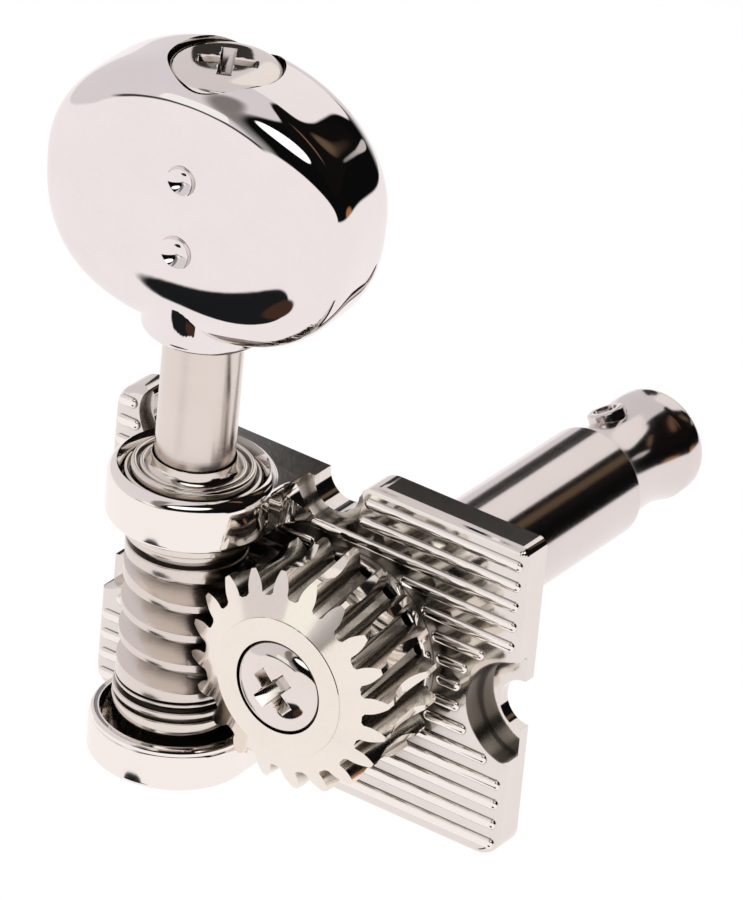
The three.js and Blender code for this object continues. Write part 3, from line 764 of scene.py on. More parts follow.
    def _lug(self, foot: float, top: float, radius: float, rounding: float) -> bpy.types.Object:
        """Makes the round end of a lug.

        Args:
            foot: its lowest height.
            top: its highest height.
            radius: its radius.
            rounding: the radius of its upper edge.

        Returns:
            The new object.
        """
        inner, bend = radius - self.lug_round, self.lug_round / 2
        profile = [(inner * 0.5, foot)] + Bench.arc(radius - bend, foot + bend, bend, -90, 0, 8)
        profile += Bench.arc(radius - rounding, top - rounding, rounding, 0, 90, 8) + [(inner * 0.5, top)]
        return Bench.turn(profile)

    def _rib(self, low: float, high: float, z: float) -> bpy.types.Object:
        """Makes one half-round rib with rounded ends.

        Args:
            low: where it starts.
            high: where it ends.
            z: its height on the plate.

        Returns:
            The new object.
        """
        Bench.clear()
        half = self.rib_width / 2
        bpy.ops.mesh.primitive_uv_sphere_add(segments=32, ring_count=28, radius=half)
        piece = bpy.context.object
        piece.rotation_euler = (0.0, math.pi / 2, 0.0)
        Bench.settle(piece)
        Bench.edit(piece)
        Bench.pick(piece, lambda co: co.x > 1e-4)
        bpy.ops.transform.translate(value=(high - low - 2 * half, 0.0, 0.0))
        bpy.ops.object.mode_set(mode="OBJECT")
        for vertex in piece.data.vertices:
            rise = abs(vertex.co.y / half) ** self.rib_power * self.rib_height
            vertex.co.y = math.copysign(rise, vertex.co.y)
        piece.location = (low + half, -self.thickness, z)
        Bench.settle(piece)
        return piece

    def _rib_spans(self, z: float) -> list[tuple[float, float]]:
        """Finds where a rib at one height runs between the notches, the seat and the lugs.

        Args:
            z: the rib's height on the plate.

        Returns:
            The spans along X.
        """
        shaft = LAYOUT.shaft_x
        holes: list[tuple[float, float]] = []

        def block(x: float, height: float, radius: float, margin: float = self.rib_margin) -> None:
            """Notes a round place that ribs stay clear of."""
            reach = radius + margin + self.rib_width / 4
            if abs(z - height) < reach:
                half = math.sqrt(reach * reach - (z - height) ** 2)
                holes.append((x - half, x + half))

        block(self.right + self.side_out[1], -self.side_drop, self.side_notch[1])
        block(self.left - self.side_out[1], -self.side_drop, self.side_notch[1])
        block(self.top_notch_x, self.top_notch_z, self.top_notch[1], self.top_rib_margin)
        block(self.outer_notch_x, self.top_notch_z, self.top_notch[1], self.top_rib_margin)
        block(0.0, 0.0, self.seat_radius - 0.3)
        if z > self.upper[0] - 0.2:
            holes.append((self.outer_notch_x, self.top_notch_x if z > self.top_notch_z - 2 else shaft + 4.6))
        if z < self.lower[1] + 0.2:
            holes.append((shaft - self.lug_radius, shaft + self.lug_radius))
        spans = [(self.left + 0.3, self.right - 0.15)]
        for low, high in holes:
            cut: list[tuple[float, float]] = []
            for start, end in spans:
                if high <= start or low >= end:
                    cut.append((start, end))
                    continue
                cut += [(start, low), (high, end)]
            spans = cut
        return [(low, high) for low, high in spans if high - low > 1.6 * self.rib_width]

    def _screw_cuts(self) -> list[tuple[float, float, float, float]]:
        """Returns x, z, radius and depth of each round cut of the screw notches."""
        cuts = []
        for edge in (self.right, self.left):
            depths = (self.thickness + 1.0, self.side_sink)
            for radius, out, depth in zip(self.side_notch, self.side_out, depths):
                cuts.append((edge + math.copysign(out, edge), -self.side_drop, radius, depth))
        return cuts + [(x, self.top_notch_z, self.top_notch[1], self.top_sink)
                       for x in (self.top_notch_x, self.outer_notch_x)]

    def build(self) -> bpy.types.Object:
        """Models the whole plate.

        Returns:
            The finished object.
        """
        body = self._slab()
        arm_top = self.upper[1] - self.arm_drop
        Bench.cut(body, Bench.block((self.outer_notch_x, -self.thickness - 1.0, arm_top),
                                    (self.top_notch_x, 1.0, self.half_height + 1.0)))
        half_width, step = self.lug_radius - self.tongue_inset, self.tongue_step
        for tongue in (self._tongue(self.upper[0] + step, arm_top, half_width, self.arm_round),
                       self._tongue(self.lower[0] + step, self.lower[1] - step, half_width, self.arm_round)):
            Bench.cut(body, tongue, Cut.JOIN)
        Bench.cut(body, self._edge_notch(self.top_notch_x, self.block_corner, 1))
        Bench.cut(body, self._edge_notch(self.outer_notch_x, self.inner_corner, -1))
        for x, z, radius, depth in self._screw_cuts():
            middle = -self.thickness + (depth - self.peg_overrun) / 2
            Bench.cut(body, Bench.peg(radius, depth + self.peg_overrun, (x, middle, z)))
        inner, bend = self.seat_radius - self.seat_round, self.seat_round
        seat = Bench.turn([(1.0, self.seat_front), (inner, self.seat_front)]
                          + Bench.arc(inner, self.seat_front + bend, bend, -90, 0, 4)
                          + [(self.seat_radius, -self.thickness / 2), (1.0, -self.thickness / 2)], Axis.POST,
                          centre=(0.0, 0.0, 0.0))
        Bench.cut(body, seat, Cut.JOIN)
        shapes = [self._lug(self.upper[0], self.upper[1], self.lug_radius, self.upper_round),
                  self._lug(self.lower[0], self.lower[1], self.lug_radius + self.cup_proud, self.lug_round)]
        for shape in shapes:
            Bench.cut(body, shape, Cut.JOIN)
        foot, top = self.upper[1] - self.bush_sink_depth, self.upper[1]
        lean = self.bush_sink - self.bush_bore
        cone_foot, cone_top = 2 * foot - top, 2 * top - foot
        Bench.cut(body, Bench.turn([(1.0, cone_foot), (self.bush_bore - lean, cone_foot),
                                    (self.bush_sink + lean, cone_top), (1.0, cone_top)], sides=124))
        below, above = self.bore_overrun
        for radius, low, high in [(self.bush_bore, self.upper[0] - below, self.upper[1] + above),
                                  (self.cup_bore, self.cup_floor, self.lower[1] + 0.1)]:
            Bench.cut(body, Bench.peg(radius, high - low, LAYOUT.on_shaft((low + high) / 2), Axis.SHAFT, 128))
        Bench.cut(body, Bench.peg(self.post_bore, self.post_bore_length, (0.0, -1.0, 0.0), sides=128))
        Bench.weld(body)
        Bench.ease(body, self.fine_edge, 2, 50.0)
        ribs = []
        for index in range(self.rib_count):
            z = (index - (self.rib_count - 1) / 2) * self.rib_pitch
            ribs += [self._rib(low, high, z) for low, high in self._rib_spans(z)]
        body = Bench.join([body] + ribs)
        piece = Bench.finish(body, "ribbed_plate", "plate", "base_plate", 14.0)
        RIBBED.dress(piece)
        return piece


@dataclass
class ShaftBearings:
    """The bush in the upper lug, the two thrust washers and the bush in the lower lug."""

    bush_radius: float = 3.56
    bush_foot: float = 5.0
    bush_bore: float = 2.19
    cup_floor: float = -7.4
    lower_radius: float = 3.3
    lower_top: float = -4.82
    journal_bore: float = 1.9
    washer_radius: float = 3.3
    washer_thickness: float = 0.35
    washer_round: float = 0.08
    upper_washer_foot: float = 4.59
    lower_washer_foot: float = -4.76
    bush_edge: float = 0.08
    rim: Profile = ((3.52, 8.24), (3.4, 8.3), (3.36, 8.26))
    rim_foot: float = 8.16
    rim_groove: Profile = ((3.34, 8.02), (3.26, 8.02), (3.24, 8.52))
    outer_ring: tuple[float, float, float] = (3.06, 8.56, 0.18)
    outer_ring_foot: Profile = ((2.88, 8.46), (2.82, 8.46))
    inner_ring: tuple[float, float, float] = (2.64, 8.56, 0.15)
    inner_ring_foot: Profile = ((2.48, 8.6), (2.44, 8.6))
    closing_cone: Profile = ((2.36, 8.68), (2.29, 8.82), (2.24, 9.0), (2.21, 9.26))
    cone_top: float = 9.28

    def upper_bush(self) -> bpy.types.Object:
        """Models the bush with its chamfer, dish and closing cone."""
        radius, foot = self.bush_radius, self.bush_foot
        profile = [(self.bush_bore, foot), (radius - self.bush_edge, foot), (radius, foot + self.bush_edge)]
        profile += [(radius, self.rim_foot), *self.rim, *self.rim_groove]
        profile += Bench.arc(*self.outer_ring, 0, 120, 6) + [*self.outer_ring_foot]
        profile += Bench.arc(*self.inner_ring, 0, 130, 6) + [*self.inner_ring_foot]
        profile += [*self.closing_cone, (self.bush_bore, self.cone_top)]
        piece = Bench.turn(profile, closed=True)
        Bench.finish(piece, "turned_upper_bush", "plate", "retaining_bush")
        BRIGHT_SHAFT.dress(piece)
        return piece

    def washer(self, foot: float, bore: float, name: str, node: str) -> bpy.types.Object:
        """Models a thrust washer.

        Args:
            foot: its lower face.
            bore: the radius of its hole.
            name: its name.
            node: the CAD node that it stands for.

        Returns:
            The finished object.
        """
        top, bend = foot + self.washer_thickness, self.washer_round
        inner = self.washer_radius - bend
        profile = [(bore, foot), (inner, foot)]
        profile += Bench.arc(inner, foot + bend, bend, -90, 0, 3)[1:]
        profile += Bench.arc(inner, top - bend, bend, 0, 90, 3) + [(bore, top)]
        piece = Bench.turn(profile, closed=True)
        Bench.finish(piece, name, "plate", node)
        TURNED_SHAFT.dress(piece)
        return piece

    def foot_bush(self) -> bpy.types.Object:
        """Models the bush in the cup of the lower lug."""
        radius, top = self.lower_radius, self.lower_top
        profile = [(self.journal_bore, self.cup_floor), (radius, self.cup_floor), (radius, top - 0.34)]
        profile += Bench.arc(radius - 0.1, top - 0.28, 0.1, 0, 90, 4) + [(2.9, top - 0.2), (2.86, top)]
        profile += [(self.journal_bore, top)]
        piece = Bench.turn(profile, closed=True)
        Bench.finish(piece, "turned_lower_bush", "plate", "lower_bush")
        BRIGHT_SHAFT.dress(piece)
        return piece


@dataclass
class WormShaft:
    """The turned shaft with its left-hand worm."""

    pitch: float = 1.7593
    tip_radius: float = 3.2
    pitch_radius: float = 2.66
    root_radius: float = 1.97
    groove_width: float = 0.96
    flank: float = math.tan(math.radians(20.0))
    turns: float = 3.6
    fade: float = 0.26
    phase: float = 0.3448
    middle: float = 0.1
    worm_foot: float = -3.8
    worm_top: float = 4.05
    flange_foot: float = -4.1
    flange_top: float = -3.93
    flange_ease: float = 0.03
    neck_radius: float = 2.8
    shoulder_radius: float = 2.7
    shoulder_foot: float = -4.35
    journal_radius: float = 1.8
    journal_foot: float = -7.34
    journal_bore: float = 0.8
    collar_top: float = 4.5
    stem_radius: float = 2.09
    stem_top: float = 16.55
    stem_chamfer: tuple[float, float] = (0.25, 0.1)
    groove_ease: float = 0.09
    sides: int = 144

    def build(self) -> bpy.types.Object:
        """Models the shaft.

        Returns:
            The finished object.
        """
        tip, stem = self.tip_radius, self.stem_radius
        shoulder, journal = self.shoulder_radius, self.journal_radius
        foot, end = self.journal_foot, self.stem_top + self.stem_chamfer[1]
        profile = [(self.journal_bore, foot), (journal - 0.1, foot), (journal, foot + 0.1)]
        profile += [(journal, self.shoulder_foot), (shoulder - 0.08, self.shoulder_foot)]
        profile += [(shoulder, self.shoulder_foot + 0.05), (shoulder, self.flange_foot)]
        ease = self.flange_ease
        profile += [(tip - ease, self.flange_foot), (tip, self.flange_foot + ease)]
        profile += [(tip, self.flange_top - ease), (tip - ease, self.flange_top)]
        profile += [(self.neck_radius, self.flange_top), (self.neck_radius, self.worm_foot)]
        profile += [(tip - 0.05, self.worm_foot), (tip, self.worm_foot + 0.05)]
        profile += [(tip, self.worm_top), (tip - 0.06, self.worm_top + 0.06)]
        profile += [(shoulder + 0.02, self.worm_top + 0.08), (shoulder, self.collar_top)]
        profile += [(shoulder - 0.06, self.collar_top + 0.03), (stem, self.collar_top + 0.04)]
        profile += [(stem, self.stem_top), (stem - self.stem_chamfer[0], end), (1.0, end)]
        piece = Bench.turn(profile, sides=self.sides)
        Bench.cut(piece, self._cutter())
        Bench.weld(piece)
        Bench.ease(piece, 0.045, 2, 40.0)
        Bench.finish(piece, "worm_and_stem", "spindle", "worm_shaft", 34.0)
        TURNED_SHAFT.dress(piece)
        return piece

    def _cutter(self) -> bpy.types.Object:
        """Returns the finished groove tool, wound as a left-hand screw with faded ends."""
        outer = self.tip_radius + 0.35
        foot = self.groove_width / 2 + (self.root_radius - self.pitch_radius) * self.flank
        head = self.groove_width / 2 + (outer - self.pitch_radius) * self.flank
        ease = self.groove_ease
        corners = [(self.root_radius, -foot + ease), (self.root_radius + ease, -foot - ease * self.flank),
                   (outer, -head), (outer, head), (self.root_radius + ease, foot + ease * self.flank),
                   (self.root_radius, foot - ease)]
        steps = round(self.turns * self.sides)
        Bench.clear()
        bpy.ops.mesh.primitive_circle_add(vertices=len(corners), radius=1.0, fill_type="NGON")
        piece = bpy.context.object
        for vertex, (radius, height) in zip(piece.data.vertices, corners):
            vertex.co = (radius, height, 0.0)
        Bench.take(piece)
        bpy.ops.object.mode_set(mode="EDIT")
        bpy.ops.mesh.select_mode(type="FACE")
        bpy.ops.mesh.select_all(action="SELECT")
        for _ in range(steps):
            bpy.ops.mesh.extrude_region_move(TRANSFORM_OT_translate={"value": (0.0, 0.0, 1.0)})
        bpy.ops.object.mode_set(mode="OBJECT")
        for vertex in piece.data.vertices:
            along = round(vertex.co.z) / steps
            turns = (along - 0.5) * self.turns
            to_end = (0.5 - abs(along - 0.5)) * self.turns
            lift = (self.tip_radius + 0.1 - self.root_radius) * max(0.0, 1.0 - to_end / self.fade)
            radius = min(outer + lift, vertex.co.x + lift)
            angle = 2 * math.pi * (turns + self.phase)
            height = vertex.co.y - turns * self.pitch + self.middle
            vertex.co = (radius * math.cos(angle), radius * math.sin(angle), height)
        Bench.weld(piece, 1e-5)
        piece.location = LAYOUT.on_shaft()
        Bench.settle(piece)
        return piece


@dataclass
class CrossScrew:
    """A round-headed screw with a cross recess."""

    head_radius: float = 2.55
    edge: float = 1.05
    crown: float = 0.72
    shank_radius: float = 1.1
    shank_length: float = 3.2
    arm: float = 1.3
    width: float = 0.8
    depth: float = 1.15
    long_taper: float = 0.6
    side_taper: float = 0.25
    well_share: float = 0.62
    tip_ease: float = 0.4
    rim_ease: float = 0.05
    crown_share: float = 0.985
    crown_power: float = 0.8

    def _recess(self, turn: float) -> bpy.types.Object:
        """Makes the tool for the cross, which narrows with depth.

        Args:
            turn: the cross's turn in degrees.

        Returns:
            The tool, standing on height 0.
        """
        bars = []
        for quarter in (0.0, 90.0):
            Bench.clear()
            bpy.ops.mesh.primitive_cube_add(size=1.0, scale=(2 * self.arm, self.width, self.depth + 1.0),
                                            location=(0.0, 0.0, (1.0 - self.depth) / 2))
            bar = bpy.context.object
            Bench.settle(bar)
            Bench.edit(bar)
            for end in (-self.depth, 1.0):
                Bench.pick(bar, lambda co: abs(co.z - end) < 0.01)
                share = end / self.depth
                lean = (1.0 + self.long_taper * share, 1.0 + self.side_taper * share, 1.0)
                bpy.ops.transform.resize(value=lean, center_override=(0.0, 0.0, end))
            bpy.ops.object.mode_set(mode="OBJECT")
            bar.rotation_euler = (0.0, 0.0, math.radians(turn + quarter))
            Bench.settle(bar)
            bars.append(bar)
        Bench.cut(bars[0], bars[1], Cut.JOIN)
        middle = (0.0, 0.0, -self.depth / 2)
        well = Bench.peg(self.width * self.well_share, self.depth, middle, Axis.SHAFT, 32)
        Bench.cut(bars[0], well, Cut.JOIN)
        return bars[0]

    def build(self, turn: float) -> bpy.types.Object:
        """Models the screw along Z with its head's seat on height 0.

        Args:
            turn: the cross's turn in degrees.

        Returns:
            The object, in millimetres.
        """
        head, shank, ease = self.head_radius, self.shank_radius, self.rim_ease
        profile = [(0.5, -self.shank_length), (shank, -self.shank_length + self.tip_ease), (shank, 0.0)]
        profile += [(head - ease, 0.0), (head, ease), (head, self.edge - 0.1)]
        for step in range(1, 13):
            angle = step / 12 * math.pi / 2 * self.crown_share
            profile.append((head * math.cos(angle) ** self.crown_power,
                            self.edge - 0.1 + (self.crown + 0.1) * math.sin(angle)))
        piece = Bench.turn(profile, sides=96, centre=(0.0, 0.0, 0.0))
        tool = self._recess(turn)
        tool.location = (0.0, 0.0, self.edge + self.crown)
        Bench.settle(tool)
        Bench.cut(piece, tool)
        Bench.weld(piece)
        Bench.ease(piece, self.rim_ease, 2, 38.0)
        return piece


@dataclass
class GearTrain:
    """The gear on the post, with its screw."""

    teeth: int = 20
    module: float = 0.56
    backlash: float = 0.17
    front: float = -8.32
    tooth_front: float = -7.31
    rear: float = -2.98
    ring_radius: float = 3.83
    ring_step: float = 0.06
    first_tooth: float = 8.645
    twist: float = 0.0188
    throat_radius: float = 3.4
    throat_depth: float = 0.33
    bore: float = 2.43
    sink_radius: float = 2.585
    sink_floor: float = -7.09
    screw_turn: float = -41.4
    screw: CrossScrew = field(default_factory=CrossScrew)

    def _outline(self) -> list[tuple[float, float]]:
        """Returns the teeth's outline as (x, z) points, with involute flanks."""
        pressure = math.radians(20.0)
        pitch_radius = self.teeth * self.module / 2
        base = pitch_radius * math.cos(pressure)
        tip = pitch_radius + self.module
        root = pitch_radius - 1.24 * self.module
        thick = math.pi * self.module / 2 - self.backlash / 2

        def half(radius: float) -> float:
            """Returns half a tooth's angle at a radius."""
            bend = math.acos(min(1.0, base / radius))
            return thick / (2 * pitch_radius) + math.tan(pressure) - pressure - (math.tan(bend) - bend)

        flank = [(root, half(base) + 0.035), (root + 0.12, half(base) + 0.004)]
        flank += [(base + (tip - base) * i / 6, half(base + (tip - base) * i / 6)) for i in range(7)]
        points = []
        for index in range(self.teeth):
            middle = math.radians(self.first_tooth) + 2 * math.pi * index / self.teeth
            sides = [(r, middle - a) for r, a in flank] + [(r, middle + a) for r, a in reversed(flank)]
            points += [(r * math.cos(a), r * math.sin(a)) for r, a in sides]
        return points

    def _blank(self) -> bpy.types.Object:
        """Makes the twisted stack of teeth."""
        points = self._outline()
        steps = 12
        face = self.rear - self.front
        Bench.clear()
        bpy.ops.mesh.primitive_circle_add(vertices=len(points), radius=5.0, fill_type="NGON")
        piece = bpy.context.object
        for vertex, (x, z) in zip(piece.data.vertices, points):
            vertex.co = (x, -z, 0.0)
        bpy.ops.object.mode_set(mode="EDIT")
        bpy.ops.mesh.select_mode(type="FACE")
        bpy.ops.mesh.select_all(action="SELECT")
        for _ in range(steps):
            bpy.ops.mesh.extrude_region_move(TRANSFORM_OT_translate={"value": (0.0, 0.0, face / steps)})
        bpy.ops.object.mode_set(mode="OBJECT")
        for vertex in piece.data.vertices:
            turn = (vertex.co.z + self.front - self.tooth_front) * self.twist
            vertex.co = Matrix.Rotation(-turn, 3, "Z") @ vertex.co
        Bench.weld(piece)
        piece.rotation_euler = (-math.pi / 2, 0.0, 0.0)
        piece.location = (0.0, self.front, 0.0)
        Bench.settle(piece)
        return piece

    def build_gear(self) -> bpy.types.Object:
        """Models the gear."""
        tip = self.teeth * self.module / 2 + self.module
        piece = self._blank()
        slope = (self.tooth_front - self.front) / (tip - self.ring_radius)
        envelope = Bench.turn([(1.0, self.front), (self.ring_radius, self.front),
                               (self.ring_radius + 0.01, self.front + self.ring_step),
                               (tip + 1.0, self.tooth_front + slope), (tip + 1.0, self.rear + 0.7),
                               (tip - 0.35, self.rear - 0.02), (1.0, self.rear - 0.02)], Axis.POST,
                              sides=180, centre=(0.0, 0.0, 0.0))
        Bench.cut(piece, envelope, Cut.KEEP)
        out = tip - self.throat_depth + self.throat_radius
        throat = Bench.turn(Bench.arc(out, LAYOUT.shaft_y, self.throat_radius, 150, 210, 12), Axis.POST,
                            sides=180, closed=True, centre=(0.0, 0.0, 0.0))
        Bench.cut(piece, throat)
        Bench.cut(piece, Bench.peg(self.sink_radius, 3.0, (0.0, self.sink_floor - 1.5, 0.0), sides=128))
        Bench.cut(piece, Bench.peg(self.bore, 8.0, (0.0, self.sink_floor + 2.0, 0.0), sides=64))
        Bench.weld(piece)
        Bench.ease(piece, 0.04, 2, 30.0)
        Bench.finish(piece, "helical_gear", "post", "gear", 14.0)
        GEAR_FACE.dress(piece)
        return piece

    def build_screw(self) -> bpy.types.Object:
        """Models the screw in the gear's recess."""
        piece = self.screw.build(self.screw_turn)
        piece.rotation_euler = (math.pi / 2, 0.0, 0.0)
        piece.location = (0.0, self.sink_floor, 0.0)
        Bench.settle(piece)
        Bench.finish(piece, "gear_cross_screw", "post", "gear_screw")
        SCREW.dress(piece)
        return piece


@dataclass
class StringPost:
    """The post with its waist, string hole, flared rim and flat rounded end."""

    radius: float = 3.175
    foot: float = -2.98
    tenon: float = 2.35
    tenon_foot: float = -7.03
    shoulder: float = 20.3
    neck_start: float = 2.98
    neck_length: float = 5.2
    waist_radius: float = 2.6
    waist_share: float = 0.53
    waist_power: float = 1.8
    rim_radius: float = 3.03
    rim_width: float = 0.75
    end_round: float = 0.65
    hole_radius: float = 0.66
    hole_y: float = 23.26
    hole_tilt: float = 28.0
    hole_length: float = 9.0
    lip_radius: float = 1.04
    lip_reach: float = 3.05
    lip_round: float = 0.15
    foot_ease: float = 0.05
    shoulder_ease: float = 0.08

    def _head(self) -> list[tuple[float, float]]:
        """Returns the neck, the flared rim and the rounded flat end as a turned profile."""
        steps = 24
        points = []
        for step in range(steps + 1):
            share = step / steps
            before = share < self.waist_share
            reach = self.waist_share if before else 1.0 - self.waist_share
            wide = self.neck_start if before else self.rim_radius
            away = abs(share - self.waist_share) / reach
            points.append((self.waist_radius + (wide - self.waist_radius) * away ** self.waist_power,
                           self.shoulder + share * self.neck_length))
        foot = self.shoulder + self.neck_length
        turn = foot + self.rim_width
        points += Bench.arc(self.rim_radius - self.end_round, turn, self.end_round, 0, 90, 8)
        return points + [(0.3, turn + self.end_round)]

    def build(self) -> bpy.types.Object:
        """Models the post.

        Returns:
            The finished object.
        """
        profile = [(1.4, self.tenon_foot), (self.tenon, self.tenon_foot), (self.tenon, self.foot),
                   (self.radius - self.foot_ease, self.foot), (self.radius, self.foot + self.foot_ease)]
        bend = self.shoulder_ease
        profile += [(self.radius, self.shoulder - bend)]
        profile += Bench.arc(self.radius - bend, self.shoulder - bend, bend, 30, 90, 3)
        profile += self._head()
        piece = Bench.turn(profile, Axis.POST, 144, centre=(0.0, 0.0, 0.0))
        bend = self.lip_round
        lip = Bench.turn([(0.4, 0.0), (self.lip_radius, 0.0), (self.lip_radius, self.lip_reach - bend)]
                         + Bench.arc(self.lip_radius - bend, self.lip_reach - bend, bend, 20, 90, 4)
                         + [(0.4, self.lip_reach)], sides=64, centre=(0.0, 0.0, 0.0))
        hole = Bench.peg(self.hole_radius, self.hole_length, (0.0, 0.0, 0.0), Axis.SHAFT, 64)
        for tool, how in ((lip, Cut.JOIN), (hole, Cut.TAKE)):
            tool.rotation_euler = (0.0, math.radians(-self.hole_tilt), 0.0)
            tool.location = (0.0, self.hole_y, 0.0)
            Bench.settle(tool)
            Bench.cut(piece, tool, how)
        Bench.weld(piece)
        Bench.ease(piece, 0.06, 2, 38.0)
        Bench.finish(piece, "waisted_post", "post", "string_post")
        TURNED_POST.dress(piece)
        return piece


@dataclass
class Button:
    """The oval button with its boss, screw seat and dimples."""

    half_length: float = 8.91
    half_thickness: float = 3.6
    rise: float = 7.1
    fall: float = 7.75
    centre_z: float = 24.88
    thickness_power: float = 4.3
    upper_power: float = 2.05
    lower_power: float = 2.58
    turn: float = 4.6
    boss_radius: float = 3.3
    boss_foot: float = 16.6
    boss_height: float = 2.6
    boss_round: float = 0.4
    boss_support: float = 0.45
    boss_bore: float = 2.17
    socket_radius: float = 2.13
    socket_length: float = 9.6
    socket_rise: float = 4.7
    seat_radius: float = 2.97
    seat_floor: float = 30.05
    dimple_sink: float = 0.45
    dimples: tuple[tuple[float, float], ...] = ((1.55, 0.98), (-2.5, 1.15))
    screw_turn: float = 30.0
    screw: CrossScrew = field(default_factory=lambda: CrossScrew(
        head_radius=2.86, edge=1.3, crown=0.4, shank_radius=1.1, shank_length=4.9, arm=1.5, width=0.76,
        depth=1.0))

    def _oval(self) -> bpy.types.Object:
        """Makes the oval body from a ball pushed out to full faces."""
        Bench.clear()
        bpy.ops.mesh.primitive_uv_sphere_add(segments=256, ring_count=160, radius=1.0,
                                             rotation=(math.pi / 2, 0.0, 0.0))
        piece = bpy.context.object
        Bench.settle(piece)

        def push(value: float, power: float) -> float:
            """Raises the size of a value and keeps its sign."""
            return math.copysign(abs(value) ** power, value)

        for vertex in piece.data.vertices:
            x, y, z = vertex.co
            flat = math.hypot(x, z)
            outline = self.lower_power if z < 0 else self.upper_power
            spread = flat ** (2 / self.thickness_power)
            cos, sin = (x / flat, z / flat) if flat > 1e-9 else (0.0, 0.0)
            vertex.co = (self.half_length * spread * push(cos, 2 / outline),
                         self.half_thickness * push(y, 2 / self.thickness_power),
                         (self.fall if z < 0 else self.rise) * spread * push(sin, 2 / outline))
        piece.rotation_euler = (0.0, 0.0, math.radians(self.turn))
        piece.location = LAYOUT.on_shaft(self.centre_z)
        Bench.settle(piece)
        return piece

    def build(self) -> bpy.types.Object:
        """Models the button."""
        piece = self._oval()
        foot, radius = self.boss_foot, self.boss_radius
        bend, top = self.boss_round, foot + self.boss_height
        boss = Bench.turn([(self.boss_bore, foot), (radius - bend, foot)]
                          + Bench.arc(radius - bend, foot + bend, bend, -80, 0, 6)
                          + [(radius, foot + self.boss_support), (radius, top), (self.boss_bore, top)],
                          sides=128, closed=True)
        Bench.cut(piece, boss, Cut.JOIN)
        seat = Bench.peg(self.seat_radius, 3.0, LAYOUT.on_shaft(self.seat_floor + 1.5), Axis.SHAFT, 128)
        Bench.cut(piece, seat)
        socket = LAYOUT.on_shaft(foot + self.socket_rise)
        Bench.cut(piece, Bench.peg(self.socket_radius, self.socket_length, socket, Axis.SHAFT, 64))
        for rise, radius in self.dimples:
            Bench.clear()
            bpy.ops.mesh.primitive_uv_sphere_add(segments=64, ring_count=48, radius=radius)
            ball = bpy.context.object
            place = Matrix.Rotation(math.radians(self.turn), 3, "Z") @ Vector(
                (0.0, self.dimple_sink - self.half_thickness - radius, 0.0))
            ball.location = Vector(LAYOUT.on_shaft(self.centre_z + rise)) + place
            Bench.settle(ball)
            Bench.cut(piece, ball)
        Bench.weld(piece, 1e-5)
        Bench.finish(piece, "oval_button", "spindle", "button", 30.0, weighted=False)
        MIRROR.dress(piece)
        return piece

    def build_screw(self) -> bpy.types.Object:
        """Models the screw in the button's top."""
        piece = self.screw.build(self.screw_turn)
        piece.location = LAYOUT.on_shaft(self.seat_floor)
        Bench.settle(piece)
        Bench.finish(piece, "button_cross_screw", "spindle", "button_screw")
        SCREW.dress(piece)
        return piece


@dataclass(frozen=True)
class Card:
    """A card, lamp or dark thing in the studio, given by the direction in which it stands.

    Attributes:
        azimuth: degrees from the front (-Y) towards +X.
        elevation: degrees above the horizon.
        width: half its width in degrees.
        height: half its height in degrees.
        colour: what it sends.
        softness: how wide its edge is, as a share of its size.
        roll: how far its right end is turned up, in degrees.
        squareness: 2 for an ellipse, more for a rectangle.
        strength: how much it covers.
    """

    azimuth: float
    elevation: float
    width: float
    height: float
    colour: tuple[float, float, float]
    softness: float = 0.15
    roll: float = 0.0
    squareness: float = 2.0
    strength: float = 1.0

    def _axes(self) -> tuple[Vector, Vector, Vector]:
        """Returns the directions to its middle, its right end and its top."""
        turn, lift = math.radians(self.azimuth), math.radians(self.elevation)
        middle = Vector((math.sin(turn) * math.cos(lift), -math.cos(turn) * math.cos(lift), math.sin(lift)))
        across = Vector((math.cos(turn), math.sin(turn), 0.0))
        above = middle.cross(across)
        if above.z < 0:
            above.negate()
        roll = math.radians(self.roll)
        return (middle, across * math.cos(roll) + above * math.sin(roll),
                above * math.cos(roll) - across * math.sin(roll))

    def paint(self, net: Net, towards: Wire, under: Wire) -> Wire:
        """Lays the card over what the world shows.

        Args:
            net: the world's net.
            towards: the direction that is looked in.
            under: the colour so far.

        Returns:
            The colour with the card.
        """
        facing, across, above = (
            net.node("ShaderNodeVectorMath", {"operation": "DOT_PRODUCT"}, {0: towards, 1: tuple(axis)},
                     output="Value") for axis in self._axes())
        wide = (across * (1 / math.sin(math.radians(self.width)))).size() ** self.squareness
        high = (above * (1 / math.sin(math.radians(self.height)))).size() ** self.squareness
        inside = 1.0 - (wide + high).ramp(1.0 - self.softness, 1.0 + self.softness)
        mask = inside * facing.ramp(-0.05, 0.05) * self.strength
        return net.blend(mask, under, (*self.colour, 1.0))


